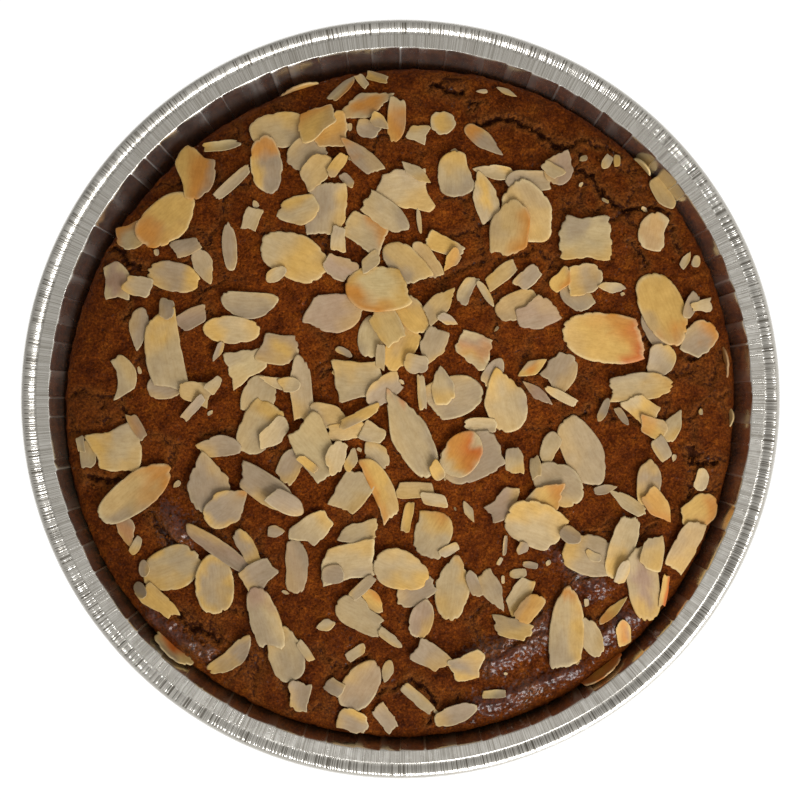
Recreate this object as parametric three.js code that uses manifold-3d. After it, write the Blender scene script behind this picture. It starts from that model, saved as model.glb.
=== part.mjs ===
// A speculoos tart covered with flaked almonds, baked in its round foil tray.
// Millimetres, +Z up. The origin is the middle of the tray's underside.

import * as THREE from 'three';
import { mergeVertices } from 'three/addons/utils/BufferGeometryUtils.js';
import Module from 'manifold-3d';

// Foil tray. Real foil is about 0.09 mm: a thicker sheet stands for it here.
const RIM_RADIUS = 107;
const RIM_TOP = 38;
const FOIL = 0.45;
const BASE_RADIUS = 79;
const WALL_FOOT = new THREE.Vector2(83, 3.6);
const WALL_TOP = new THREE.Vector2(99.1, 36.9);
const FLANGE_WIDTH = 3.6;
const BEAD_RADIUS = 1.8;
const PLEATS = 60;
const PLEAT_DEPTH = 0.25;

// Cake. It fills the foot of the tray and has shrunk away from the wall near the top.
const WALL_GAP = 0.7;
const BASE_GAP = 0.35;
const STUCK_BELOW = 18;
const WIDEST_Z = 31.5;
const CREST_Z = 36.6;
const CAKE_RADIUS = 94.8;
const CAKE_SHIFT = new THREE.Vector2(0.35, -1.3);
const OUTLINE_LOBES = [{ count: 2, size: 0.0083, phase: 0 }, { count: 3, size: 0.0048, phase: -1.74 }];
const SHOULDER_POWER = 10;
const SWELL = 0.6;
const SWELL_SPANS = { x: 15, y: 19, slant: 11 };
const SWELL_PHASE = 0.6;
const SLANT_SHARE = 0.6;
const CAKE_SEGMENTS = 54;
const TOP_RINGS = [0.98, 0.94, 0.88, 0.8, 0.69, 0.54, 0.36, 0.18];

// Cracks in the crust, and the folds where it has sagged.
const CRACK_REACH = 0.7;
const CRACK_DEPTH = 1.8;
const FOLD_REACH = 2.4;
const FOLD_HEIGHT = 1.4;

// Almond slices.
const SLICE_THICKNESS = 0.8;
const SLICE_ROOT = 3;
const SLICE_SINK = 0.4;
const SLICE_SIDES = 12;
const SHARD_SIDES = 8;
const SHARD_LENGTH = 10;
const ROUND_REACH = 0.5;
const BROKEN_REACH = 0.8;
const BLUNTNESS = 2.1;
const TIP_TAPER = 0.3;
const POINTEDNESS = 1.15;
const BREAK_SLANT = THREE.MathUtils.degToRad(28);
const STEEPEST_REST = 0.5;
const TRAY_CLEARANCE = 0.35;
const HALF_SPAN = 100;
const SMALLEST_EDGE = 0.02;

// Random draws: each number is the one before times the factor, modulo the prime.
const DRAW_FACTOR = 16807;
const DRAW_PRIME = 2147483647;
const DRAW_STEP = { x: 911, y: 3571 };

// Slices on the crust, the lower ones first: x, y, length, width and turn in degrees,
// the sides that are broken off straight (E is along the length, N to its left) or,
// in small letters, drawn to a point, and how far both ends bend towards N.
const SLICES = [
  // Upper left
  [-34, 76, 17, 10.5, 10, ''], [-26.5, 69.5, 12, 9, 40, 'E'], [-37.8, 66.3, 16.8, 9, 95, ''],
  [-76, 46, 9, 7.5, 15, 'N'], [-66, 50.7, 19.5, 12.3, 43, ''], [-57.3, 62.8, 13, 9.8, 80, 'EN'],
  [-55.6, 37.6, 12, 5.8, 112, 'w'], [-63.8, 34.5, 15.5, 8.7, -12, ''], [-80, 33.6, 10.5, 7.3, 98, 'NW'],
  [-74, 31.8, 8, 5.8, -20, 'ENW'], [-48.2, 43, 13.8, 4.3, 94, ''], [-42, 50.8, 7.3, 5.2, 60, 'ENWS'],
  [-47.2, 61.2, 13.5, 3.2, 43, 'EW'], [-60.2, 42.8, 8, 4.8, 25, 'ENWS'], [-50.5, 71.6, 11.5, 3, 6, 'W'],
  // Top
  [-20.8, 53.5, 16, 11.5, 84, 'EW'], [-29, 53, 13, 8.5, 15, 'Nw'], [-29.7, 40, 20, 13.3, -25, ''],
  [-9, 76.3, 7, 5.5, -10, 'N'], [-10, 83, 17.8, 7.6, 22, 'ew'], [-1.2, 79, 13, 5.5, 87, 'E'],
  [-20, 75, 11, 8, 20, 'ENWS'], [-23.5, 78.5, 12, 7.5, 25, 'ENWS'], [12, 78, 7.2, 6.9, 0, ''],
  [23.6, 73, 13.5, 5, -38, 'e'], [-11.5, 68.8, 14.3, 5.8, -43, 'Ew'], [-23.6, 64.5, 10.5, 7.5, 48, 'EW'],
  [-9.8, 47.2, 12.5, 9, -25, 'ENS'], [0.5, 59.3, 15, 11.5, 5, 'ENWS'], [4.5, 64, 10.5, 3.6, -36, 'ewS'],
  [-4.2, 52.3, 15.8, 7.6, -36, 'W'], [15, 63.5, 13, 9.4, 90, 'S'], [26.5, 64, 13.5, 4.2, -8, 'wE'],
  [23.8, 57.5, 15, 7, 106, 'We'], [12.5, 43.2, 11.5, 4.8, -17, 'NEW'], [7.6, 39.3, 12, 5.2, -58, 'E'],
  [1.2, 38.4, 14.5, 9, -42, 'E'], [-17.5, 37, 9, 6.5, -35, 'EN'], [-16.4, 87.7, 10, 3, 44, 'W'],
  [-17.8, 66, 8.3, 3.5, 55, 'EW'], [14.5, 39.2, 7.5, 4, 55, 'wE'], [-17.6, 45.2, 7.3, 4.2, 80, 'ENWS'],
  // Upper right
  [36, 61.5, 12.5, 6.3, 0, 'E'], [36, 52.5, 19, 13, -65, ''], [31, 48.3, 16, 11, 80, 'W'],
  [52, 45.3, 15.5, 12.3, -5, 'ENWS'], [45, 65.5, 11, 8.3, 65, 'e'], [71.3, 47.4, 11, 8.3, 78, 'S'],
  [28.4, 35, 11, 4.7, 38, 'EW'], [42.6, 64.6, 6.5, 3.8, -35, 'ENWS'],
  // Left
  [-42.5, 27.4, 16.5, 7.6, -3, '', 2.2], [-73.7, 19.8, 12.5, 6, 83, 'w'], [-58.8, 22.8, 9, 5.5, 28, 'EW'],
  [-66, 3, 10.5, 6, 10, 'N'], [-66, 13.3, 22.5, 10.3, 100, 'EW', -1.8], [-47.4, 19.5, 16.6, 7.8, -3, ''],
  [-43.7, 9.8, 12, 8.5, 28, 'NWS'], [-34.2, 14, 11.2, 9, -5, 'NW'], [-78.3, 6.5, 11.5, 5.8, 100, 'EW', 2.5],
  [-57.8, 1.8, 9.5, 6.5, -15, 'ENWS'], [-88.2, -15.6, 8.3, 5, 92, 'EW'], [-79.8, -14.3, 14, 13, 5, 'NWS'],
  [-77.4, -37, 10.5, 5.2, 106, 'w'], [-74.6, -26.4, 25, 10.5, 39, ''], [-39.7, 1.5, 11, 9.5, 70, 'W'],
  [-40, -8, 16, 11, 62, 'E'], [-35.8, -10, 11.5, 6.3, 48, 'Nw'], [-51.3, -13.2, 13.2, 6.2, -2, 'Sw'],
  [-54.3, -23.5, 18, 12, 100, 'e'], [-48.8, -30.3, 14.5, 10.3, 38, 'e'], [-31, -18.5, 11, 6.5, 65, 'W'],
  [-37.5, -25.5, 18, 8.5, -33, 'W'], [-32, -29.3, 11, 6, -28, 'W'], [-58.3, -2.5, 9.5, 2.8, 48, 'EW'],
  [-74.3, -7.8, 8.5, 3.2, -60, 'EW'], [-34.5, 4.5, 12.5, 3.2, -18, 'wE'],
  // Middle
  [-28, 3.3, 18.5, 6.3, 94, 'W'], [-19, 24, 18, 11.5, 15, 'Nw'], [-12, 5.5, 14, 11, -5, 'NWS'],
  [-4.8, 2.5, 11.5, 7, 38, 'E'], [-7.8, 17.8, 12.5, 8.5, 85, ''], [0, 14.5, 14, 8.5, 62, 'E'],
  [3.4, 23.6, 12.5, 7.5, -55, 'W'], [-3.7, 20.8, 12.5, 8, -62, 'EW'], [-6.8, 31, 17.5, 12.8, 0, 'E'],
  [9, 14.7, 11.5, 7.5, 68, 'wE'], [11.3, 27, 12, 6, 48, 'We'], [20.6, 14.6, 10.5, 8.5, -15, 'EWS'],
  [15.4, 0.8, 16.5, 11.8, 18, 'W'], [11.8, 4, 11.7, 6.5, 100, 'We'], [26, 7.3, 9.5, 5.2, 58, 'W'],
  [29.3, 0, 18.5, 12.5, 105, 'e'], [22.7, -7.3, 9.8, 4.3, -3, 'E'], [2.4, -9.2, 28, 10.8, 117, 'e'],
  [19.8, -16.5, 18.5, 13.5, 22, 'E'], [17.3, -15.4, 14.2, 10.8, 60, ''], [32, -17.2, 7.5, 5.3, 88, 'EWS'],
  [4.2, -25.7, 11, 4.6, 4, 'ENW'], [29, -30.5, 9.5, 7, 25, 'ENW'], [-20.8, -4.7, 10.8, 7.3, -14, ''],
  [-15.4, -9, 11, 5, 8, 'EW'], [-11.4, -4.8, 13.5, 3.2, 27, 'EW'], [-7, -15.5, 10, 6.8, -50, 'w'],
  [-24, -14.5, 16.5, 11, -50, 'ENWS'], [-18.3, -16.8, 10.5, 6, 76, 'wS'], [-13.6, -26, 13, 9.5, 52, 'ENW'],
  [-6, -25.4, 20, 6.2, -66, 'E', -2], [-5.6, 12, 7.5, 2.8, 88, 'EW'], [18.8, 30.6, 9, 4, 66, 'EW', -1],
  [24, 29.8, 8.5, 2.4, -58, ''], [6, 1.8, 10.8, 2.5, 94, 'EW'], [9.5, -28.4, 8, 4, -12, 'ENWS'],
  [2, -33.3, 9.3, 3, 80, 'EW'],
  // Right
  [33, 26.5, 13, 8, 25, 'E'], [38.5, 23.8, 12, 8, 15, 'EN'], [49.5, 29, 10.5, 7, -40, 'E'],
  [52, 34, 10.5, 9, 15, 'W'], [72, 19.3, 12, 6.5, -60, ''], [84, 17.2, 12, 9.5, 30, 'wS'],
  [74, 25.3, 21.5, 12.8, -66, ''], [57, 17.4, 23, 14, -6, 'E'], [73.4, 10, 11.5, 7.3, 58, 'wN'],
  [67.8, 3.4, 19, 8, 6, 'W'], [77, -7.3, 10, 5, 62, 'We'], [68.3, -3, 9.5, 7, -48, 'ENWS'],
  [71.7, -8.2, 8.5, 6, -18, 'NWSe'], [45.3, 8, 11, 9.3, 62, 'NW'], [37.2, 8.8, 9.6, 4.5, 30, 'we'],
  [38.7, 1.7, 11, 3.6, -38, 'we'], [51.3, -14.9, 21.3, 11.3, -66, ''], [42, -13.6, 9.2, 5, 76, 'S'],
  [44.8, -24, 15.5, 11.2, -35, ''], [41, -28.3, 14, 9, 42, 'e'], [37.8, -35.3, 17, 13, -22, 'E'],
  [63.8, -29, 12.5, 4, -35, 'wE'], [70, -23.5, 13.5, 7, 86, ''], [72.8, -30.3, 11.5, 6.2, -52, 'We'],
  [84.6, -31.8, 12.5, 9, 35, 'W'], [45.7, 33.6, 8, 4.6, 65, 'Ns'], [59.6, 31.4, 8.5, 3.4, -5, 'Nwe'],
  [82, 26.5, 8.5, 3.6, 65, 'E'], [45.4, 0.8, 10.5, 2.8, -28, 'E'], [73.6, -14, 7.3, 4.5, -62, 'EW'],
  // Lower left
  [-64.2, -47.6, 17.5, 12.3, 20, ''], [-52.4, -52.1, 16.5, 11.5, 95, ''], [-51.4, -42, 22.5, 4.8, -35, 'E'],
  [-42.8, -42.4, 12.5, 5, -62, 'S'], [-40.2, -49.3, 10.5, 7.5, 25, 'ENWS'], [-32.4, -71.7, 16.8, 10, 108, ''],
  [-38.4, -61.5, 18.8, 8.6, 108, 'W'], [-29.3, -46.8, 16, 6.6, 94, 'N'], [-47.8, -72.3, 16, 5.6, 42, '', 1.8],
  [-68.3, -57, 13, 5.2, -46, 'EWS'],
  // Bottom
  [-24, -36, 10.5, 7.8, 50, 'ENW'], [-12, -37.8, 12.5, 6.3, 18, 'NEw'], [-14.6, -45.8, 15.5, 10.8, 8, 'ENWS'],
  [4.3, -54, 12, 8, 30, 'E'], [0.2, -48.2, 16.2, 11.2, -20, ''], [9.3, -38.2, 13.5, 10.5, 62, 'NW'],
  [14.8, -52.6, 19.3, 10.2, 83, 'e'], [6, -62, 11.3, 6.8, 76, ''], [26, -54.2, 13.2, 5.8, -62, 'We'],
  [33.6, -55.2, 10.5, 5.5, 56, 'EW'], [31.5, -64.6, 11.5, 6, -15, 'EW'], [36.3, -59, 9.5, 6, 50, 'EWN'],
  [-7.6, -57, 9, 4.6, -48, 'Se'], [-11.6, -61.3, 15, 7.8, -28, 'EN'], [-11.2, -80.8, 16, 10, 58, ''],
  [-28.4, -83.9, 9, 5.8, 78, 'ENWS'], [-13.4, -91, 9.2, 7.3, -18, 'S'], [-4.3, -90.2, 9.3, 5, -55, 'ENWS'],
  [4.9, -84.6, 12, 3.5, -42, 'EW'], [15.6, -89, 13, 5.7, 22, ''], [8.4, -72.4, 10, 7.3, -42, 'ENWS'],
  [18.4, -75.8, 9, 8, 0, 'ENWS'], [20.6, -52, 8.5, 3.6, 112, 'W'], [-10.7, -53, 9.3, 3.3, 42, 'EW'],
  [-2.9, -67.4, 8.3, 2.9, -38, 'W'], [26.5, -83.2, 7, 2.4, 3, 'EW'],
  // Lower right
  [52.5, -43.8, 14, 11.8, -15, 'E'], [53.6, -67.2, 12, 6.6, -64, ''], [46.9, -64.4, 22.8, 9.8, 88, 'W'],
  [62.3, -41.6, 18.5, 7.3, 70, 'E'], [68.5, -52, 21.5, 9.6, 98, 'E'], [71, -43.5, 9.8, 6.8, 84, 'ENW'],
  [80.4, -41.6, 15.8, 7.3, 62, 'EW'], [60.1, -59.5, 11.5, 2.8, 44, 'e'], [74.5, -54.2, 10, 2.4, 82, 'EW'],
  [63, -66, 8, 4.4, 98, 'W'],
  // Small pieces: upper half
  [-5.8, 78.2, 6.5, 3.8, -40, 'We'], [-6.6, 91, 6.6, 2.8, -17, 'EW'], [4.8, 75, 5.6, 4.8, 0, 'ENWS'],
  [-8.4, 38.6, 6, 4.2, 30, 'ENWS'], [-35, 35.2, 6.5, 4, 30, ''], [80.8, 39.5, 5.6, 2.3, 60, 'We'],
  [-65.8, 25.3, 6, 4.7, 90, 'E'], [-52.4, 4, 5.5, 3, 55, 'ENWS'], [-31, 4, 6, 4.5, 0, 'W'],
  [4.4, 9.8, 7.3, 5.5, -15, 'N'], [13.5, 22.3, 6.3, 3, -25, 'We'], [36, 34.3, 8, 5, 40, 'EW'],
  [85, 26.5, 6.7, 3.2, 15, 'ENWS'],
  // Small pieces: lower half
  [10.3, -20.3, 5.6, 3.8, -60, 'EW'], [19.2, -31.6, 7, 2.8, -64, 'we'], [-7.8, -9.8, 7.5, 5, -12, 'ENW'],
  [-26, -18.3, 7, 2.6, -38, 'EW'], [-13.5, -17.2, 6.8, 3.2, 78, 'Ns'], [57.3, -3, 7.3, 2.6, 66, ''],
  [62.6, -4.8, 6.3, 2.2, -55, 'W'], [38, -19.2, 6.6, 3.2, 95, 'EW'], [57.8, -25.4, 7.2, 2.8, 12, 'We'],
  [85.2, -22.7, 6.6, 4, 82, 'N'], [-26.8, -71, 7.5, 2.3, -55, 'EW'], [-73.4, -54, 5.2, 3.4, -60, ''],
  [-74.5, -41.2, 5.8, 2.7, 68, 'N'], [-72.3, -47.8, 5, 3.3, 95, ''], [-19, -49.3, 6.5, 5.5, 0, 'E'],
  [13.8, -42.6, 6, 3, 28, 'EW'], [-21.2, -63.8, 5.8, 3.5, 15, 'w'], [-12.6, -71.6, 6.7, 3.2, 35, 'EW'],
  [-3.7, -77, 7.2, 3.4, 76, 'w'], [-18.6, -81.3, 6.2, 4.8, -30, 'ENWS'], [54.2, -44.3, 5.3, 2.9, -33, 'Ns'],
  [62.6, -48.5, 7.5, 3.6, 70, 'W'], [47.8, -38.3, 6.5, 4.8, -30, ''],
  [74.3, 58.3, 10.2, 5.4, -57, 'N'],
];

// Slices leaning in the gap along the wall: the angle round the tart, the radius and height
// of the top edge, the slice's length and height, and its lean from upright in degrees.
const LEANING = [
  [108, 93.4, 34, 14, 9, 26],
  [6.6, 93.4, 35.4, 10.8, 8, 20],
  [-53.3, 97.5, 36, 14.2, 7, 35],
  [-132.2, 97.9, 36.4, 14, 8, 42],
  [-3.1, 94.5, 34.5, 6.5, 7, 30],
  [43.8, 96, 35, 6.8, 7, 14],
];

// The wide cracks, each as the few points it turns at.
const CRACKS = [
  [[9.5, 88.5], [13, 87], [17, 86.7]],
  [[22.5, 77.5], [27, 79.5], [33, 79], [38.5, 75.5], [44, 71.3], [48.5, 71.3]],
  [[50, 64.5], [53.5, 63.5], [57, 57.5], [60.5, 55.5], [63.5, 52.8], [69, 54], [72.5, 53.8]],
  [[-82, 42.5], [-78.5, 41.5], [-77.5, 38.5], [-73, 37.5]],
  [[-89, -22], [-86, -22.7], [-82, -23], [-79.5, -22]],
  [[-70, -32], [-68.5, -35], [-64, -41.5], [-61, -42]],
  [[-65, -59.4], [-59.3, -63.6], [-55, -66], [-51, -68.5]],
  [[3, -79.5], [6.5, -82], [9.5, -85.5]],
  [[82, -14], [82.5, -18.5], [85.5, -18.3], [88.5, -18]],
];

// The large folds, in the same way.
const FOLDS = [
  [[21, -73], [28.3, -69.2], [39.1, -63.5]],
  [[22.6, -87.2], [37.4, -81.1], [49.6, -76.8]],
  [[55, -69], [66, -62]],
  [[-66.8, -31], [-62.6, -39]],
];

const wasm = await Module();
wasm.setup();

// Keeps only positions, joins equal corners and drops the triangles that fall flat on the axis.
function weld(geometry) {
  geometry.deleteAttribute('normal');
  geometry.deleteAttribute('uv');
  const welded = mergeVertices(geometry);
  const corners = welded.index.array;
  const kept = [];
  for (let i = 0; i < corners.length; i += 3) {
    const [a, b, c] = corners.slice(i, i + 3);
    if (a !== b && b !== c && c !== a) kept.push(a, b, c);
  }
  welded.setIndex(kept);
  return welded;
}

function toSolid(geometry) {
  const welded = weld(geometry);
  return new wasm.Manifold(new wasm.Mesh({
    numProp: 3,
    vertProperties: new Float32Array(welded.attributes.position.array),
    triVerts: new Uint32Array(welded.index.array),
  }));
}

function toGeometry(solid) {
  const { vertProperties, triVerts } = solid.getMesh();
  const geometry = new THREE.BufferGeometry();
  geometry.setAttribute('position', new THREE.BufferAttribute(vertProperties, 3));
  geometry.setIndex(new THREE.BufferAttribute(triVerts, 1));
  geometry.computeVertexNormals();
  return geometry;
}

// Turns a profile of radius and height round the Z axis, then moves each corner by a rule.
function turned(profile, segments, move) {
  const geometry = new THREE.LatheGeometry(profile, segments);
  geometry.rotateX(Math.PI / 2);
  const position = geometry.attributes.position;
  const corner = new THREE.Vector3();
  for (let i = 0; i < position.count; i += 1) {
    corner.fromBufferAttribute(position, i);
    move(corner);
    position.setXYZ(i, corner.x, corner.y, corner.z);
  }
  return geometry;
}

function wallRadius(z) {
  const share = (z - WALL_FOOT.y) / (WALL_TOP.y - WALL_FOOT.y);
  return THREE.MathUtils.lerp(WALL_FOOT.x, WALL_TOP.x, share);
}

// Foil tray: flat base, pleated wall, flat flange and a rolled bead round the rim
function trayProfile() {
  const bead = new THREE.Vector2(RIM_RADIUS - BEAD_RADIUS, RIM_TOP - BEAD_RADIUS);
  const flangeEdge = WALL_TOP.x + FLANGE_WIDTH;
  const inside = [
    [0, FOIL], [BASE_RADIUS, FOIL], [WALL_FOOT.x, WALL_FOOT.y],
    [WALL_TOP.x, WALL_TOP.y + FOIL], [flangeEdge, WALL_TOP.y + FOIL],
  ];
  const outside = [
    [flangeEdge, WALL_TOP.y], [WALL_TOP.x + FOIL, WALL_TOP.y],
    [WALL_FOOT.x + FOIL, WALL_FOOT.y - FOIL], [BASE_RADIUS + FOIL, 0], [0, 0],
  ];
  const roll = [90, 45, 0, -60, -130].map((degrees) => {
    const angle = THREE.MathUtils.degToRad(degrees);
    return [bead.x + BEAD_RADIUS * Math.cos(angle), bead.y + BEAD_RADIUS * Math.sin(angle)];
  });
  return [...inside, ...roll, ...outside].map(([radius, height]) => new THREE.Vector2(radius, height));
}

function makeTray() {
  const profile = trayProfile().reverse();
  return weld(turned(profile, 2 * PLEATS, (corner) => {
    const angle = Math.atan2(corner.y, corner.x);
    const radius = Math.hypot(corner.x, corner.y);
    const onWall = radius > WALL_FOOT.x - FOIL && radius < WALL_TOP.x + 2 * FOIL;
    const pleat = onWall ? 0.5 * PLEAT_DEPTH * Math.cos(PLEATS * angle) : 0;
    corner.x += pleat * Math.cos(angle);
    corner.y += pleat * Math.sin(angle);
  }));
}

// Cake: how far its outline swells and its top waves
function outlineSwell(angle) {
  const lobes = OUTLINE_LOBES.map(({ count, size, phase }) => size * Math.sin(count * angle + phase));
  return 1 + lobes.reduce((sum, lobe) => sum + lobe, 0);
}

function crustHeight(x, y) {
  const dx = x - CAKE_SHIFT.x;
  const dy = y - CAKE_SHIFT.y;
  const share = Math.hypot(dx, dy) / (CAKE_RADIUS * outlineSwell(Math.atan2(dy, dx)));
  const dome = Math.sqrt(Math.max(0, 1 - share ** SHOULDER_POWER));
  const crossed = Math.sin(x / SWELL_SPANS.x + SWELL_PHASE) * Math.cos(y / SWELL_SPANS.y);
  const waves = crossed + SLANT_SHARE * Math.sin((x + y) / SWELL_SPANS.slant);
  return WIDEST_Z + (CREST_Z - WIDEST_Z + SWELL * waves) * dome;
}

// The stretches between the points that some lines turn at
function stretches(lines) {
  return lines.flatMap((points) => points.slice(1).map((point, i) => [points[i], point]));
}

const FOLD_LINES = stretches(FOLDS).map(([start, end]) => (
  new THREE.Line3(new THREE.Vector3(...start, 0), new THREE.Vector3(...end, 0))));

// How far the folds lift a place of the crust
function foldLift(x, y) {
  const place = new THREE.Vector3(x, y, 0);
  const nearest = new THREE.Vector3();
  const gaps = FOLD_LINES.map((line) => line.closestPointToPoint(place, true, nearest).distanceTo(place));
  return FOLD_HEIGHT * Math.max(0, 1 - Math.min(...gaps) / FOLD_REACH);
}

function insideCake(x, y) {
  const dx = x - CAKE_SHIFT.x;
  const dy = y - CAKE_SHIFT.y;
  return Math.hypot(dx, dy) < CAKE_RADIUS * outlineSwell(Math.atan2(dy, dx));
}

function makeCake() {
  const foot = FOIL + BASE_GAP;
  const sideHeights = [WALL_FOOT.y + 1, STUCK_BELOW, (STUCK_BELOW + WIDEST_Z) / 2];
  const profile = [
    new THREE.Vector2(0, foot),
    new THREE.Vector2(BASE_RADIUS - WALL_GAP, foot),
    ...sideHeights.map((z) => new THREE.Vector2(wallRadius(z) - WALL_GAP, z)),
    new THREE.Vector2(CAKE_RADIUS, WIDEST_Z),
    ...TOP_RINGS.map((share) => new THREE.Vector2(CAKE_RADIUS * share, CREST_Z)),
    new THREE.Vector2(0, CREST_Z),
  ];
  return toSolid(turned(profile, CAKE_SEGMENTS, (corner) => {
    const free = THREE.MathUtils.smoothstep(corner.z, STUCK_BELOW, WIDEST_Z);
    const swell = 1 + free * (outlineSwell(Math.atan2(corner.y, corner.x)) - 1);
    corner.x = corner.x * swell + free * CAKE_SHIFT.x;
    corner.y = corner.y * swell + free * CAKE_SHIFT.y;
    const hold = Math.min(1, (wallRadius(corner.z) - WALL_GAP) / Math.hypot(corner.x, corner.y));
    if (corner.z > foot) corner.multiply(new THREE.Vector3(hold, hold, 1));
    if (corner.z === CREST_Z) corner.z = crustHeight(corner.x, corner.y);
  }));
}

// The room inside the tray that the tart keeps to, clear of the foil
function makeTrayRoom() {
  const foot = FOIL + TRAY_CLEARANCE;
  const gap = TRAY_CLEARANCE + PLEAT_DEPTH;
  const roof = 2 * RIM_TOP;
  const profile = [
    [0, foot], [BASE_RADIUS - gap, foot], [WALL_FOOT.x - gap, WALL_FOOT.y],
    [WALL_TOP.x - gap, WALL_TOP.y], [WALL_TOP.x - gap, roof], [0, roof],
  ];
  return toSolid(turned(profile.map(([radius, z]) => new THREE.Vector2(radius, z)), 2 * PLEATS, () => {}));
}

// A three-sided bar lying along the crust, one edge raised to a height or sunk to a depth below zero.
// Its reach is how far it spreads to each side where it meets the crust.
function barAlong([x0, y0], [x1, y1], reach, height) {
  const start = new THREE.Vector3(x0, y0, crustHeight(x0, y0));
  const end = new THREE.Vector3(x1, y1, crustHeight(x1, y1));
  const along = end.clone().sub(start);
  const bar = new THREE.CylinderGeometry(1, 1, along.length() + reach / 2, 3);
  bar.scale(Math.sqrt(3) * reach, 1, Math.abs(height));
  along.normalize();
  const upright = new THREE.Vector3(0, 0, Math.sign(height));
  const side = new THREE.Vector3().crossVectors(along, upright).normalize();
  const edge = new THREE.Vector3().crossVectors(side, along);
  bar.applyMatrix4(new THREE.Matrix4().makeBasis(side, along, edge));
  const middle = start.add(end).multiplyScalar(0.5);
  bar.translate(middle.x, middle.y, middle.z);
  return toSolid(bar);
}

function makeBars(lines, reach, height) {
  return wasm.Manifold.union(stretches(lines).map(([start, end]) => barAlong(start, end, reach, height)));
}

// The same place always draws the same shares between 0 and 1
function seededDraw(x, y) {
  let state = 1 + Math.round(DRAW_STEP.x * Math.abs(x) + DRAW_STEP.y * Math.abs(y));
  return () => {
    state = (state * DRAW_FACTOR) % DRAW_PRIME;
    return state / DRAW_PRIME;
  };
}

// Outline of a slice round its own middle: an almond, cut straight where it is broken
function sliceOutline(x, y, length, width, turn, broken, bend = 0) {
  const draw = seededDraw(x, y);
  const slants = [width / length, 1, width / length, 1].map((lean) => lean * BREAK_SLANT * (2 * draw() - 1));
  const breaks = ['E', 'N', 'W', 'S'].map((side, quarter) => ({
    real: broken.includes(side),
    facing: quarter * Math.PI / 2 + slants[quarter],
  }));
  const turnAngle = THREE.MathUtils.degToRad(turn);
  const isShard = broken.length > 1 || length < SHARD_LENGTH;
  const sides = isShard ? SHARD_SIDES : SLICE_SIDES;
  const outline = [];
  for (let i = 0; i < sides; i += 1) {
    const angle = 2 * Math.PI * i / sides;
    const [cos, sin] = [Math.cos(angle), Math.sin(angle)];
    const reachX = breaks[cos > 0 ? 0 : 2].real ? BROKEN_REACH : ROUND_REACH;
    const reachY = breaks[sin > 0 ? 1 : 3].real ? BROKEN_REACH : ROUND_REACH;
    const isPointed = broken.includes(cos > 0 ? 'e' : 'w') || broken.includes(sin > 0 ? 'n' : 's');
    const power = isPointed ? POINTEDNESS : BLUNTNESS - TIP_TAPER * cos;
    let reach = (Math.abs(cos / reachX) ** power + Math.abs(sin / reachY) ** power) ** (-1 / power);
    for (const { real, facing } of breaks) {
      const towards = Math.cos(angle - facing);
      if (real && towards > 0) reach = Math.min(reach, ROUND_REACH / towards);
    }
    const along = length * reach * cos;
    const across = width * reach * sin + bend * ((2 * along / length) ** 2 - 0.5);
    outline.push(new THREE.Vector2(along, across).rotateAround(new THREE.Vector2(), turnAngle));
  }
  return outline;
}

// Height of what lies on each square millimetre of the tart so far
const ground = new Map();

function squaresUnder(outline, x, y) {
  const reach = Math.ceil(Math.max(...outline.map((point) => point.length())));
  const [column, row] = [Math.round(x), Math.round(y)];
  const squares = [];
  for (let i = column - reach; i <= column + reach; i += 1) {
    for (let j = row - reach; j <= row + reach; j += 1) {
      if (insideCake(i, j) && insideOutline(outline, i - x, j - y)) squares.push([i, j]);
    }
  }
  return squares;
}

function insideOutline(outline, x, y) {
  let inside = false;
  outline.forEach((a, i) => {
    const b = outline[(i + 1) % outline.length];
    const crosses = (a.y > y) !== (b.y > y);
    if (crosses && x < a.x + (b.x - a.x) * (y - a.y) / (b.y - a.y)) inside = !inside;
  });
  return inside;
}

function groundKey(i, j) {
  return (i + HALF_SPAN) * 2 * HALF_SPAN + j + HALF_SPAN;
}

function groundHeight(i, j) {
  return ground.get(groundKey(i, j)) ?? crustHeight(i, j) + foldLift(i, j);
}

// The plane a slice comes to rest on: the best fit to the ground below, sunk in a little
function restingPlane(squares, x, y) {
  const sums = new Array(9).fill(0);
  const moments = new THREE.Vector3();
  for (const [i, j] of squares) {
    const terms = [1, i - x, j - y];
    terms.forEach((a, row) => terms.forEach((b, column) => { sums[3 * row + column] += a * b; }));
    moments.addScaledVector(new THREE.Vector3(...terms), groundHeight(i, j));
  }
  const fit = moments.applyMatrix3(new THREE.Matrix3().set(...sums).invert());
  const slopeX = THREE.MathUtils.clamp(fit.y, -STEEPEST_REST, STEEPEST_REST);
  const slopeY = THREE.MathUtils.clamp(fit.z, -STEEPEST_REST, STEEPEST_REST);
  const lifts = squares.map(([i, j]) => groundHeight(i, j) - slopeX * (i - x) - slopeY * (j - y));
  const height = Math.max(...lifts) - SLICE_SINK;
  return (dx, dy) => height + slopeX * dx + slopeY * dy;
}

function lieSlice([x, y, length, width, turn, broken, bend]) {
  const outline = sliceOutline(x, y, length, width, turn, broken, bend);
  const squares = squaresUnder(outline, x, y);
  const plane = restingPlane(squares, x, y);
  for (const [i, j] of squares) {
    const top = plane(i - x, j - y) + SLICE_THICKNESS;
    ground.set(groundKey(i, j), Math.max(top, groundHeight(i, j)));
  }
  const geometry = new THREE.ExtrudeGeometry(new THREE.Shape(outline), {
    depth: SLICE_THICKNESS + SLICE_ROOT,
    bevelEnabled: false,
  });
  const position = geometry.attributes.position;
  for (let i = 0; i < position.count; i += 1) {
    const lift = plane(position.getX(i), position.getY(i)) - SLICE_ROOT;
    position.setZ(i, position.getZ(i) + lift);
  }
  geometry.translate(x, y, 0);
  return toSolid(geometry);
}

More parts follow.
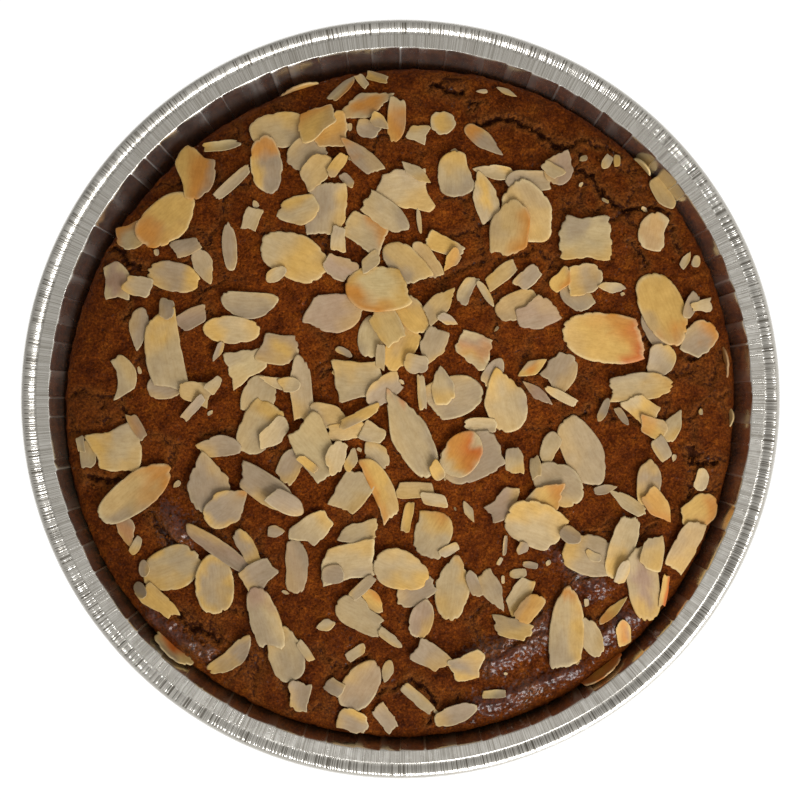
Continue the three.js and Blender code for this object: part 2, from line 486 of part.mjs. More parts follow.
// A slice that stands in the gap, its top edge leaning outwards
function leanSlice([degrees, topRadius, topHeight, length, height, leanDegrees]) {
  const angle = THREE.MathUtils.degToRad(degrees);
  const lean = THREE.MathUtils.degToRad(leanDegrees);
  const outward = new THREE.Vector3(Math.cos(angle), Math.sin(angle), 0);
  const tangent = new THREE.Vector3(-Math.sin(angle), Math.cos(angle), 0);
  const upward = outward.clone().multiplyScalar(Math.sin(lean)).add(new THREE.Vector3(0, 0, Math.cos(lean)));
  const outline = sliceOutline(degrees, topRadius, length, height, 0, 'S');
  const geometry = new THREE.ExtrudeGeometry(new THREE.Shape(outline), {
    depth: SLICE_THICKNESS,
    bevelEnabled: false,
  });
  geometry.translate(0, -height / 2, -SLICE_THICKNESS / 2);
  const facing = new THREE.Vector3().crossVectors(tangent, upward);
  geometry.applyMatrix4(new THREE.Matrix4().makeBasis(tangent, upward, facing));
  geometry.translate(topRadius * outward.x, topRadius * outward.y, topHeight);
  return toSolid(geometry);
}

// The tart: crust raised by its folds and cut by its cracks, with every slice fused on.
// Keeping only the largest body drops loose scraps and fills any hollow sealed by the fusing,
// and slivers of surface below the smallest edge are evened out.
function makeTart() {
  const folded = makeCake().add(makeBars(FOLDS, FOLD_REACH, FOLD_HEIGHT));
  const crust = folded.subtract(makeBars(CRACKS, CRACK_REACH, -CRACK_DEPTH));
  const almonds = [...SLICES.map(lieSlice), ...LEANING.map(leanSlice)];
  const fused = wasm.Manifold.union([crust, ...almonds]).intersect(makeTrayRoom());
  const bodies = fused.decompose().sort((a, b) => b.volume() - a.volume());
  return toGeometry(bodies[0].simplify(SMALLEST_EDGE));
}

const foilFinish = new THREE.MeshStandardMaterial({ color: 0xb6b2a7, roughness: 0.3, metalness: 1 });
const crustFinish = new THREE.MeshStandardMaterial({ color: 0x5c3414, roughness: 0.6, metalness: 0 });

const tray = new THREE.Mesh(makeTray(), foilFinish);
tray.name = 'foil_tray';

const tart = new THREE.Mesh(makeTart(), crustFinish);
tart.name = 'tart';

const tartInTray = new THREE.Group();
tartInTray.add(tray, tart);

export default tartInTray;
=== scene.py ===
# A speculoos tart covered with flaked almonds, baked in its round foil tray.
# Sizes are in millimetres, as in the solids, and become metres where a mesh is made.

import math

import bpy
import numpy as np
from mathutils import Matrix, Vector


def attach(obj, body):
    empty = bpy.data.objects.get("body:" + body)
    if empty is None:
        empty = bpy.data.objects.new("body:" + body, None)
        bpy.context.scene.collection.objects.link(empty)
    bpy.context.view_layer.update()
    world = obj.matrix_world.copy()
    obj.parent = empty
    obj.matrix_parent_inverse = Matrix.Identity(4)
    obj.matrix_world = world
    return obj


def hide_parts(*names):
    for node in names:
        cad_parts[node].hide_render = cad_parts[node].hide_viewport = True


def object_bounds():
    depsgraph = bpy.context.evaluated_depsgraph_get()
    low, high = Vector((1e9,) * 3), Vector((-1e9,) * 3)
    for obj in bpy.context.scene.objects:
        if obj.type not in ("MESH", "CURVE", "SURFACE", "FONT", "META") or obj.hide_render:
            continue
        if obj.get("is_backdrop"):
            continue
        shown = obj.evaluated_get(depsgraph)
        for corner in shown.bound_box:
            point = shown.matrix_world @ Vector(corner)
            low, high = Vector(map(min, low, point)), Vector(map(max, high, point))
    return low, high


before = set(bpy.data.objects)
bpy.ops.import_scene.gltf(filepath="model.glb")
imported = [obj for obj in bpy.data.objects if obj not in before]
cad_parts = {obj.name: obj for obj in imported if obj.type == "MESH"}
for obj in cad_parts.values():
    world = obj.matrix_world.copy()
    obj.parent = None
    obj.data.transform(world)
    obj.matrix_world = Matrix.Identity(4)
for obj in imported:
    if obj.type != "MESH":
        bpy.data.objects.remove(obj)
cad_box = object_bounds()

MM = 0.001
BODY = "root"

# Foil tray
RIM_RADIUS = 107
RIM_TOP = 38
FOIL = 0.45
BASE_RADIUS = 79
BASE_CURVE = (2.2, 0.7)
WALL_FOOT = (83, 3.6)
WALL_TOP = (99.1, 36.9)
WALL_FLARE = 0.3
BEND_REACH = 1.2
BEND_DROP = 0.4
BEND_CORNER = (0.03, 0.06)
FLANGE_WIDTH = 3.6
FLANGE_INSETS = (FLANGE_WIDTH - 0.12, FLANGE_WIDTH - 0.35, FLANGE_WIDTH / 2, 0.2, 0)
RIM_WAVER = 0.25
RIM_INSET = 0.02
WAVER_SPAN = 24
TRAY_SEGMENTS = 2200

# Rings of the wall, inside and outside, as shares of the way up it
INSIDE_SHARES = (0, 0.13, 0.26, 0.4, 0.54, 0.68, 0.8, 0.89, 0.94, 0.965, 0.985)
OUTSIDE_SHARES = (0.95, 0.7, 0.4, 0)

# Creases of the wall, and the panels between them. The lowest crease is a share of the height,
# the jitter one of the pitch, and a panel's edge one of its width.
CREASES = 84
CREASE_HEIGHT = 0.3
LOWEST_CREASE = 0.25
CREASE_WIDTH = 0.24
CREASE_JITTER = 0.35
CREASE_CLIMB = (-0.1, 0.8)
BEND_CREASE = 0.5
PANEL_TILT = 0.2
PANEL_EDGE = 0.08

# How rough the foil is on its creases and on each of its parts, and how that varies
CREASE_ROUGHNESS = 0.5
SCUFF_SHARE = 0.3
SCUFF_SPAN = 1.5
PART_ROUGHNESS = {
    "base": 0.4, "wall": 0.2, "bend": 0.25, "flange": 0.27, "crimp": 0.25,
    "crest": 0.22, "roll": 0.24, "under": 0.4, "outside": 0.2,
}

# Darkening of the inside of the wall, low down near the cake and on one side: partly a baked-on film,
# partly painted shade where the wall lies by the gap and faces away from the light. The heights over
# which it thins out, the side where it is thickest, and its colour.
FILM_AND_SHADE_HEIGHTS = (30, 41)
FILM_AND_SHADE_SIDE = math.radians(255)
FILM_AND_SHADE_SPREAD = (-0.2, 0.8)
FILM_AND_SHADE_COLOUR = (181, 168, 120)

# The rolled edge from the flange over its crest to its underside: how far in from the rim,
# how far below its top, and which part of it each ring is on.
BEAD = [
    (3.9, 0.85, "crimp"), (3.3, 0.55, "crimp"), (2.7, 0.22, "crimp"), (2.1, 0.05, "crimp"),
    (1.6, 0, "crest"), (1.1, 0.1, "crest"),
    (0.7, 0.3, "roll"), (0.35, 0.57, "roll"), (0.08, 0.8, "roll"), (0, 0.9, "roll"), (0, 1.3, "roll"),
    (0.25, 2.3, "roll"), (0.9, 3.1, "roll"), (1.8, 3.6, "roll"), (2.8, 3.3, "roll"),
]

# Cake
WALL_GAP = 0.7
BASE_GAP = 0.35
STUCK_BELOW = 18
WIDEST_Z = 31.5
LEAVES_WALL = (STUCK_BELOW + WIDEST_Z) / 2
CREST_Z = 36.6
CAKE_RADIUS = 94.8
CAKE_SHIFT = (0.35, -1.3)
OUTLINE_LOBES = [(2, 0.0083, 0), (3, 0.0048, -1.74)]
SHOULDER_POWER = 10
SWELL = 0.6
SWELL_SPANS = (15, 19, 11)
SWELL_PHASE = 0.6
SLANT_SHARE = 0.6
CAKE_CELLS = 280
RIM_CROWDING = 1.15
SIDE_LEVELS = 14
SIDE_ROUGHNESS = 0.35
SIDE_SPAN = 2.2
SIDE_TORN = 0.5
EDGE_ROUGHNESS = 0.3
EDGE_SPANS = (1.5, 5)
SMOOTH_EDGE = 0.985

# Darkening towards the rim, of the crust and of the almonds, the share of the tart's area within
# which they are paler than their tones, and how much darker the sides towards -X and -Y are. On the
# crust's rim it is partly browner baking and partly painted shade; elsewhere it is painted shade.
CRUST_BROWNING_AND_SHADE = 0.42
ALMOND_PAINTED_SHADE = 0.18
PALE_SHARE = 0.44
SIDE_PAINTED_SHADE = (0.05, 0.08)

# Relief of the crust. Each kind of hump has its span and its height.
CRUST_HUMPS = [(13, 0.45), (5.5, 0.3), (2.4, 0.2), (1.3, 0.15)]
CRACK_WIDTH = 1.25
CRACK_DEPTH = 2.2
LIP_HEIGHT = 0.4
CRUMBLE_HEIGHT = 0.3
CRUMBLE_SPAN = 1.2
FOLD_HEIGHT = 1.7
FOLD_WIDTH = 2.6
FOLD_SMOOTHNESS = 0.85
SHEEN_WIDTH = 4.5
SHINE = 0.15
SHINE_SPAN = 9

# The parts of a crack: how wide each is in a wide and in a narrow one, in crack widths, and how
# strong it is in a narrow one. The colour of the middle part is painted shade in the crack.
CRACK_PARTS = {"hollow": (0.55, 0.36, 0.65), "shaded": (0.85, 0.6, 0.7), "torn": (1.8, 1, 1)}

# How far the lines of the cracks and of the folds sway, and over what span
CRACK_SWAYS = [(0.9, 2.3), (0.5, 1.1)]
FOLD_SWAYS = [(1.5, 7)]

# Hair cracks between plates of crust. The width of what is torn is in widths of a hair crack, and
# their darkening is painted shade.
PLATE_SPAN = 12
PLATES_SPLIT = (-0.1, 0.4)
HAIR_CRACK_DEPTH = 0.8
HAIR_CRACK_WIDTH = 0.5
HAIR_CRACK_SHADE = 0.7
HAIR_TORN = 0.6
HAIR_TORN_WIDTH = 3

# Pits. Their width and depth are shares of their size. The deeper pits get painted shade.
PITS = 900
PIT_SIZES = (0.45, 1.1)
PIT_WIDTH = 0.6
PIT_DEPTH = 0.5
PIT_MARGIN = 1
SHADED_PIT = 0.25
PIT_SHADE = 0.6

# Almond slices
SLICE_THICKNESS = 0.65
SLICE_SINK = 0.25
STEEPEST_REST = 0.5
BREAK_SLANT = math.radians(28)
BREAK_CORNER = math.radians(18)
NOTCH_SHARE = 0.92
ROUND_REACH = 0.5
BROKEN_REACH = 0.8
BLUNTNESS = 2.1
TIP_TAPER = 0.3
POINTEDNESS = 1.15
WOBBLE = 0.035
WOBBLE_COUNTS = (2, 3, 5)
LEAST_COSINE = 0.05
RAGGED = 0.26
RAGGED_SPAN = 0.9
CHIPPED = 0.75
CHIP_SPAN = 2.6
CHIPPED_SIZE = 9
NIBBLED = 0.8
NIBBLE_SPAN = 2.4
NIBBLED_ABOVE = 0.2
EDGE_STEP = 0.56
FEWEST_SIDES = 14
GROUND_STEP = 0.5
HALF_SPAN = 100
LAID_WITHIN = 0.99

# How slices curl: the size of the curl, the length from which it is full, and its least and largest
# share at the ends, at the sides and in a twist. Buckles are finer.
CURL = 0.45
CURLED_LENGTH = 12
END_CURLS = (-0.5, 1)
SIDE_CURLS = (-0.4, 0.9)
TWISTS = (-0.5, 0.5)
BUCKLE = 0.12
BUCKLE_SPAN = 3.5

# Rings of a slice from its lower edge to near its middle: the share of its reach and of its thickness
SLICE_RINGS = np.array([(0.95, 0), (1, 0.45), (0.98, 0.9), (0.94, 1), (0.86, 1), (0.6, 1), (0.3, 1)])

# How strongly a painted highlight along the edge shows on each of those rings, then the middle points
RING_EDGE_HIGHLIGHT = np.array([0.5, 0.7, 0.9, 0.6, 0.1, 0, 0, 0, 0])

# Crumbs of crust and specks of almond, which lie about
CRUMBS = 220
CRUMB_SIZES = (0.35, 0.8)
CRUMB_SPREAD = 2.5
CRUMBS_WITHIN = 0.95
CRUMB_ROUNDNESS = 0.6
CRUMB_RISE = 0.4
CRUMB_TORN = 0.6
SPECKS = 60
SPECKS_WITHIN = 0.96
SPECK_SIZES = (1.2, 2.8)
SPECK_WIDTHS = (0.4, 0.8)
SPECK_BREAKS = ("EW", "Nw", "Se", "W", "we")

# The draws of each slice: a number is the one before times the factor, modulo the prime
DRAW_FACTOR = 16807
DRAW_PRIME = 2147483647
DRAW_STEPS = (911, 3571)

# Seeds of the other draws
NOISE_SEED = 7
PIT_SEED = 23
CREASE_SEED = 31
SPECK_SEED = 41
CRUMB_SEED = 53

# Colours as they look in daylight, from 0 to 255. A list has the stops of a ramp, each with its
# place on the ramp. A span is how far apart the humps of a pattern are, and a depth how deep they look.
WHITE = (255, 255, 255)

# Colours of the crust. The grain's brightest stops are painted glints; the pore shades and the crack
# brown are painted shade.
CRUST_BROWNS = [(0.3, (98, 43, 6)), (0.45, (130, 62, 11)), (0.58, (147, 74, 15)), (0.72, (174, 96, 24))]
GRAIN_SHADES_AND_GLINTS = [(0.39, (136, 122, 112)), (0.5, (182, 176, 171)), (0.57, (202, 198, 194)), (0.66, WHITE)]
PORE_PAINTED_SHADE = [(0.1, (90, 78, 70)), (0.28, WHITE)]
TORN_BROWNS = [(0.35, (62, 30, 9)), (0.6, (128, 74, 28))]
MOIST_TINT = (210, 184, 138)
CRACK_SHADE_BROWN = (56, 25, 9)
PATCH_SPAN = 4.5
FLECK_SPAN = 1
GRAIN_SPAN = 0.7
GRAIN_DEPTH = 0.5
PORE_SPAN = 1.4
PORE_DEPTH = 0.25
LUMP_SPAN = 2.4
LUMP_DEPTH = 1.4

# How flecks and grain break up the gloss and the edges of the cracks: the values that they are
# spread onto, then the ones that they are spread from.
FLECK_GLOSS = (-0.9, 0.3, 0.3, 0.75)
GRAIN_GLOSS = (-0.2, 0.35, 0.5, 0.75)
FLECK_BREAK = (-0.65, 0.65, 0.3, 0.7)
GRAIN_BREAK = (-0.3, 0.3, 0.3, 0.7)

# Colours of the foil. The dark stops of the lines and of the crimps are painted shade in their grooves.
SILVERS = [(0.3, (224, 221, 215)), (0.7, (230, 228, 223))]
LINE_GROOVE_SHADE = [(0.38, (202, 199, 194)), (0.58, WHITE)]
CRIMP_GROOVE_SHADE = [(0.38, (150, 146, 140)), (0.54, WHITE)]
SILVER_SPAN = 7
LINE_SPAN = 0.26
LINE_DEPTH = 0.085
CRIMP_SPAN = 0.36
CRIMP_DEPTH = 0.2

# Colours within a slice of almond
STREAK_SHADES = [(0.3, (228, 218, 200)), (0.6, WHITE)]
CLOUD_SHADES = [(0.35, (226, 220, 208)), (0.65, WHITE)]
SPECK_SHADES = [(0.3, (206, 196, 180)), (0.5, (244, 241, 236)), (0.7, WHITE)]
STREAK_SPAN = 0.9
STREAK_STRETCH = (0.3, 1.6, 1)
STREAK_DEPTH = 0.1
CLOUD_SPAN = 2.6
SPECK_SPAN = 0.8

# Tones of the almonds: ivory, golden, toasted, ashen, pinkish, light and orange
TONES = {
    "I": (194, 170, 128),
    "G": (210, 169, 92),
    "T": (199, 135, 56),
    "A": (168, 146, 118),
    "P": (168, 137, 113),
    "L": (210, 187, 136),
    "O": (196, 102, 30),
}
THIN_TONE = (158, 140, 117)
# The colour of the painted highlight along the edges of the slices
EDGE_HIGHLIGHT_TONE = (224, 204, 158)

# Least and largest share of the golden and thin parts of a slice, of the painted highlight along its
# edge, and of its own brightness
GOLDEN_SHARES = (0.25, 0.9)
THIN_SHARES = (0.2, 0.8)
EDGE_HIGHLIGHT_SHARES = (0.2, 0.8)
SLICE_SHADES = (0.835, 1.035)

# How far and over what span the colours of a slice sway
TONE_SWAY = 0.35
TONE_SPAN = 3
THIN_SWAY = 0.6
THIN_SPAN = 4.5

# Where a patch of colour starts and is full, from a slice's middle at 0 to its edge at 1
MIDDLE_PATCH = (0.2, 0.85)
RIM_PATCH = (0.65, 1.05)
TIP_PATCH = (0.5, 1)
SIDE_PATCH = (-0.1, 0.85)
SIDES = {"E": (1, 0), "W": (-1, 0), "N": (0, 1), "S": (0, -1)}

# Slices on the crust, the lower ones first: x, y, length, width and turn in degrees, the sides
# that are broken off (E is along the length, N to its left) or, in small letters, drawn to a point,
# the tone, and how far both ends bend to N.
# A tone has the letters of the body's colours, which mix, then a letter for each patch of colour
# with the sides that it is on: C is the middle, R the rim and a small letter only the tip.
SLICES = [
    # Upper left
    (-34, 76, 17, 10.5, 10, "", "IGNE"), (-26.5, 69.5, 12, 9, 40, "E", "IA"),
    (-37.8, 66.3, 16.8, 9, 95, "", "AGNTE"), (-76, 46, 9, 7.5, 15, "N", "ITNW"),
    (-66, 50.7, 19.5, 12.3, 43, "", "GTW"), (-57.3, 62.8, 13, 9.8, 80, "EN", "TGN"),
    (-55.6, 37.6, 12, 5.8, 112, "w", "IA"), (-63.8, 34.5, 15.5, 8.7, -12, "", "AGE"),
    (-80, 33.6, 10.5, 7.3, 98, "NW", "PIR"), (-74, 31.8, 8, 5.8, -20, "ENW", "IA"),
    (-48.2, 43, 13.8, 4.3, 94, "", "A"), (-42, 50.8, 7.3, 5.2, 60, "ENWS", "I"),
    (-47.2, 61.2, 13.5, 3.2, 43, "EW", "IA"), (-60.2, 42.8, 8, 4.8, 25, "ENWS", "A"),
    (-50.5, 71.6, 11.5, 3, 6, "W", "LGW"),
    # Top
    (-20.8, 53.5, 16, 11.5, 84, "EW", "IA"), (-29, 53, 13, 8.5, 15, "Nw", "IGN"),
    (-29.7, 40, 20, 13.3, -25, "", "GIW"), (-9, 76.3, 7, 5.5, -10, "N", "A"),
    (-10, 83, 17.8, 7.6, 22, "ew", "ITC"), (-1.2, 79, 13, 5.5, 87, "E", "TIE"),
    (-20, 75, 11, 8, 20, "ENWS", "GT"), (-23.5, 78.5, 12, 7.5, 25, "ENWS", "GTN"),
    (12, 78, 7.2, 6.9, 0, "", "GIR"), (23.6, 73, 13.5, 5, -38, "e", "ATW"),
    (-11.5, 68.8, 14.3, 5.8, -43, "Ew", "ATW"), (-23.6, 64.5, 10.5, 7.5, 48, "EW", "IG"),
    (-9.8, 47.2, 12.5, 9, -25, "ENS", "ITNE"), (0.5, 59.3, 15, 11.5, 5, "ENWS", "I"),
    (4.5, 64, 10.5, 3.6, -36, "ewS", "I"), (-4.2, 52.3, 15.8, 7.6, -36, "W", "I"),
    (15, 63.5, 13, 9.4, 90, "S", "IGE"), (26.5, 64, 13.5, 4.2, -8, "wE", "I"),
    (23.8, 57.5, 15, 7, 106, "We", "IGC"), (12.5, 43.2, 11.5, 4.8, -17, "NEW", "G"),
    (7.6, 39.3, 12, 5.2, -58, "E", "AG"), (1.2, 38.4, 14.5, 9, -42, "E", "GI"),
    (-17.5, 37, 9, 6.5, -35, "EN", "AP"), (-16.4, 87.7, 10, 3, 44, "W", "ITS"),
    (-17.8, 66, 8.3, 3.5, 55, "EW", "G"), (14.5, 39.2, 7.5, 4, 55, "wE", "TG"),
    (-17.6, 45.2, 7.3, 4.2, 80, "ENWS", "I"),
    # Upper right
    (36, 61.5, 12.5, 6.3, 0, "E", "AI"), (36, 52.5, 19, 13, -65, "", "IG"),
    (31, 48.3, 16, 11, 80, "W", "GITS"), (52, 45.3, 15.5, 12.3, -5, "ENWS", "IL"),
    (45, 65.5, 11, 8.3, 65, "e", "AP"), (71.3, 47.4, 11, 8.3, 78, "S", "GPIR"),
    (28.4, 35, 11, 4.7, 38, "EW", "GI"), (42.6, 64.6, 6.5, 3.8, -35, "ENWS", "I"),
    # Left
    (-42.5, 27.4, 16.5, 7.6, -3, "", "IA", 2.2), (-73.7, 19.8, 12.5, 6, 83, "w", "A"),
    (-58.8, 22.8, 9, 5.5, 28, "EW", "AP"), (-66, 3, 10.5, 6, 10, "N", "A"),
    (-66, 13.3, 22.5, 10.3, 100, "EW", "IGE", -1.8), (-47.4, 19.5, 16.6, 7.8, -3, "", "IGW"),
    (-43.7, 9.8, 12, 8.5, 28, "NWS", "IL"), (-34.2, 14, 11.2, 9, -5, "NW", "IPGC"),
    (-78.3, 6.5, 11.5, 5.8, 100, "EW", "I", 2.5), (-57.8, 1.8, 9.5, 6.5, -15, "ENWS", "GI"),
    (-88.2, -15.6, 8.3, 5, 92, "EW", "I"), (-79.8, -14.3, 14, 13, 5, "NWS", "IGW"),
    (-77.4, -37, 10.5, 5.2, 106, "w", "TP"), (-74.6, -26.4, 25, 10.5, 39, "", "IGTE"),
    (-39.7, 1.5, 11, 9.5, 70, "W", "I"), (-40, -8, 16, 11, 62, "E", "IGE"),
    (-35.8, -10, 11.5, 6.3, 48, "Nw", "I"), (-51.3, -13.2, 13.2, 6.2, -2, "Sw", "A"),
    (-54.3, -23.5, 18, 12, 100, "e", "A"), (-48.8, -30.3, 14.5, 10.3, 38, "e", "AGRTe"),
    (-31, -18.5, 11, 6.5, 65, "W", "A"), (-37.5, -25.5, 18, 8.5, -33, "W", "A"),
    (-32, -29.3, 11, 6, -28, "W", "A"), (-58.3, -2.5, 9.5, 2.8, 48, "EW", "A"),
    (-74.3, -7.8, 8.5, 3.2, -60, "EW", "AT"), (-34.5, 4.5, 12.5, 3.2, -18, "wE", "I"),
    # Middle
    (-28, 3.3, 18.5, 6.3, 94, "W", "IA"), (-19, 24, 18, 11.5, 15, "Nw", "AP"),
    (-12, 5.5, 14, 11, -5, "NWS", "I"), (-4.8, 2.5, 11.5, 7, 38, "E", "A"),
    (-7.8, 17.8, 12.5, 8.5, 85, "", "IL"), (0, 14.5, 14, 8.5, 62, "E", "G"),
    (3.4, 23.6, 12.5, 7.5, -55, "W", "G"), (-3.7, 20.8, 12.5, 8, -62, "EW", "GL"),
    (-6.8, 31, 17.5, 12.8, 0, "E", "LGRTSW"), (9, 14.7, 11.5, 7.5, 68, "wE", "IA"),
    (11.3, 27, 12, 6, 48, "We", "IG"), (20.6, 14.6, 10.5, 8.5, -15, "EWS", "TPIR"),
    (15.4, 0.8, 16.5, 11.8, 18, "W", "AI"), (11.8, 4, 11.7, 6.5, 100, "We", "IGW"),
    (26, 7.3, 9.5, 5.2, 58, "W", "A"), (29.3, 0, 18.5, 12.5, 105, "e", "IGE"),
    (22.7, -7.3, 9.8, 4.3, -3, "E", "I"), (2.4, -9.2, 28, 10.8, 117, "e", "IOe"),
    (19.8, -16.5, 18.5, 13.5, 22, "E", "A"), (17.3, -15.4, 14.2, 10.8, 60, "", "TOSEIR"),
    (32, -17.2, 7.5, 5.3, 88, "EWS", "I"), (4.2, -25.7, 11, 4.6, 4, "ENW", "GI"),
    (29, -30.5, 9.5, 7, 25, "ENW", "AP"), (-20.8, -4.7, 10.8, 7.3, -14, "", "IG"),
    (-15.4, -9, 11, 5, 8, "EW", "IG"), (-11.4, -4.8, 13.5, 3.2, 27, "EW", "G"),
    (-7, -15.5, 10, 6.8, -50, "w", "I"), (-24, -14.5, 16.5, 11, -50, "ENWS", "IL"),
    (-18.3, -16.8, 10.5, 6, 76, "wS", "I"), (-13.6, -26, 13, 9.5, 52, "ENW", "I"),
    (-6, -25.4, 20, 6.2, -66, "E", "GTS", -2), (-5.6, 12, 7.5, 2.8, 88, "EW", "I"),
    (18.8, 30.6, 9, 4, 66, "EW", "I", -1), (24, 29.8, 8.5, 2.4, -58, "", "I"),
    (6, 1.8, 10.8, 2.5, 94, "EW", "I"), (9.5, -28.4, 8, 4, -12, "ENWS", "I"),
    (2, -33.3, 9.3, 3, 80, "EW", "G"),
    # Right
    (33, 26.5, 13, 8, 25, "E", "AG"), (38.5, 23.8, 12, 8, 15, "EN", "AP"),
    (49.5, 29, 10.5, 7, -40, "E", "IA"), (52, 34, 10.5, 9, 15, "W", "AG"),
    (72, 19.3, 12, 6.5, -60, "", "A"), (84, 17.2, 12, 9.5, 30, "wS", "ATE"),
    (74, 25.3, 21.5, 12.8, -66, "", "GTe"), (57, 17.4, 23, 14, -6, "E", "GTNEOe"),
    (73.4, 10, 11.5, 7.3, 58, "wN", "AI"), (67.8, 3.4, 19, 8, 6, "W", "IGETe"),
    (77, -7.3, 10, 5, 62, "We", "I"), (68.3, -3, 9.5, 7, -48, "ENWS", "GIW"),
    (71.7, -8.2, 8.5, 6, -18, "NWSe", "GTW"), (45.3, 8, 11, 9.3, 62, "NW", "A"),
    (37.2, 8.8, 9.6, 4.5, 30, "we", "GTC"), (38.7, 1.7, 11, 3.6, -38, "we", "P"),
    (51.3, -14.9, 21.3, 11.3, -66, "", "AI"), (42, -13.6, 9.2, 5, 76, "S", "I"),
    (44.8, -24, 15.5, 11.2, -35, "", "IA"), (41, -28.3, 14, 9, 42, "e", "GTE"),
    (37.8, -35.3, 17, 13, -22, "E", "IGNW"), (63.8, -29, 12.5, 4, -35, "wE", "I"),
    (70, -23.5, 13.5, 7, 86, "", "AGW"), (72.8, -30.3, 11.5, 6.2, -52, "We", "GTTES"),
    (84.6, -31.8, 12.5, 9, 35, "W", "GTES"), (45.7, 33.6, 8, 4.6, 65, "Ns", "GTS"),
    (59.6, 31.4, 8.5, 3.4, -5, "Nwe", "I"), (82, 26.5, 8.5, 3.6, 65, "E", "A"),
    (45.4, 0.8, 10.5, 2.8, -28, "E", "I"), (73.6, -14, 7.3, 4.5, -62, "EW", "IA"),
    # Lower left
    (-64.2, -47.6, 17.5, 12.3, 20, "", "IGR"), (-52.4, -52.1, 16.5, 11.5, 95, "", "IAGR"),
    (-51.4, -42, 22.5, 4.8, -35, "E", "AP"), (-42.8, -42.4, 12.5, 5, -62, "S", "AGE"),
    (-40.2, -49.3, 10.5, 7.5, 25, "ENWS", "A"), (-32.4, -71.7, 16.8, 10, 108, "", "I"),
    (-38.4, -61.5, 18.8, 8.6, 108, "W", "IPE"), (-29.3, -46.8, 16, 6.6, 94, "N", "IP"),
    (-47.8, -72.3, 16, 5.6, 42, "", "AGW", 1.8), (-68.3, -57, 13, 5.2, -46, "EWS", "G"),
    # Bottom
    (-24, -36, 10.5, 7.8, 50, "ENW", "I"), (-12, -37.8, 12.5, 6.3, 18, "NEw", "I"),
    (-14.6, -45.8, 15.5, 10.8, 8, "ENWS", "I"), (4.3, -54, 12, 8, 30, "E", "A"),
    (0.2, -48.2, 16.2, 11.2, -20, "", "IGES"), (9.3, -38.2, 13.5, 10.5, 62, "NW", "IGETe"),
    (14.8, -52.6, 19.3, 10.2, 83, "e", "IGESTe"), (6, -62, 11.3, 6.8, 76, "", "AP"),
    (26, -54.2, 13.2, 5.8, -62, "We", "IA"), (33.6, -55.2, 10.5, 5.5, 56, "EW", "IGS"),
    (31.5, -64.6, 11.5, 6, -15, "EW", "IG"), (36.3, -59, 9.5, 6, 50, "EWN", "GT"),
    (-7.6, -57, 9, 4.6, -48, "Se", "GTN"), (-11.6, -61.3, 15, 7.8, -28, "EN", "I"),
    (-11.2, -80.8, 16, 10, 58, "", "IP"), (-28.4, -83.9, 9, 5.8, 78, "ENWS", "A"),
    (-13.4, -91, 9.2, 7.3, -18, "S", "AGN"), (-4.3, -90.2, 9.3, 5, -55, "ENWS", "A"),
    (4.9, -84.6, 12, 3.5, -42, "EW", "I"), (15.6, -89, 13, 5.7, 22, "", "A"),
    (8.4, -72.4, 10, 7.3, -42, "ENWS", "A"), (18.4, -75.8, 9, 8, 0, "ENWS", "AGS"),
    (20.6, -52, 8.5, 3.6, 112, "W", "A"), (-10.7, -53, 9.3, 3.3, 42, "EW", "AI"),
    (-2.9, -67.4, 8.3, 2.9, -38, "W", "I"), (26.5, -83.2, 7, 2.4, 3, "EW", "L"),
    # Lower right
    (52.5, -43.8, 14, 11.8, -15, "E", "AI"), (53.6, -67.2, 12, 6.6, -64, "", "I"),
    (46.9, -64.4, 22.8, 9.8, 88, "W", "IGSTe"), (62.3, -41.6, 18.5, 7.3, 70, "E", "IGW"),
    (68.5, -52, 21.5, 9.6, 98, "E", "IGWPC"), (71, -43.5, 9.8, 6.8, 84, "ENW", "IG"),
    (80.4, -41.6, 15.8, 7.3, 62, "EW", "GA"), (60.1, -59.5, 11.5, 2.8, 44, "e", "GTW"),
    (74.5, -54.2, 10, 2.4, 82, "EW", "GOS"), (63, -66, 8, 4.4, 98, "W", "TGR"),
    # Small pieces: upper half
    (-5.8, 78.2, 6.5, 3.8, -40, "We", "G"), (-6.6, 91, 6.6, 2.8, -17, "EW", "G"),
    (4.8, 75, 5.6, 4.8, 0, "ENWS", "I"), (-8.4, 38.6, 6, 4.2, 30, "ENWS", "I"),
    (-35, 35.2, 6.5, 4, 30, "", "I"), (80.8, 39.5, 5.6, 2.3, 60, "We", "I"),
    (-65.8, 25.3, 6, 4.7, 90, "E", "A"), (-52.4, 4, 5.5, 3, 55, "ENWS", "I"),
    (-31, 4, 6, 4.5, 0, "W", "I"), (4.4, 9.8, 7.3, 5.5, -15, "N", "IA"),
    (13.5, 22.3, 6.3, 3, -25, "We", "A"), (36, 34.3, 8, 5, 40, "EW", "A"),
    (85, 26.5, 6.7, 3.2, 15, "ENWS", "I"),
    # Small pieces: lower half
    (10.3, -20.3, 5.6, 3.8, -60, "EW", "G"), (19.2, -31.6, 7, 2.8, -64, "we", "I"),
    (-7.8, -9.8, 7.5, 5, -12, "ENW", "I"), (-26, -18.3, 7, 2.6, -38, "EW", "G"),
    (-13.5, -17.2, 6.8, 3.2, 78, "Ns", "I"), (57.3, -3, 7.3, 2.6, 66, "", "A"),
    (62.6, -4.8, 6.3, 2.2, -55, "W", "A"), (38, -19.2, 6.6, 3.2, 95, "EW", "I"),
    (57.8, -25.4, 7.2, 2.8, 12, "We", "A"), (85.2, -22.7, 6.6, 4, 82, "N", "I"),
    (-26.8, -71, 7.5, 2.3, -55, "EW", "I"), (-73.4, -54, 5.2, 3.4, -60, "", "A"),
    (-74.5, -41.2, 5.8, 2.7, 68, "N", "I"), (-72.3, -47.8, 5, 3.3, 95, "", "A"),
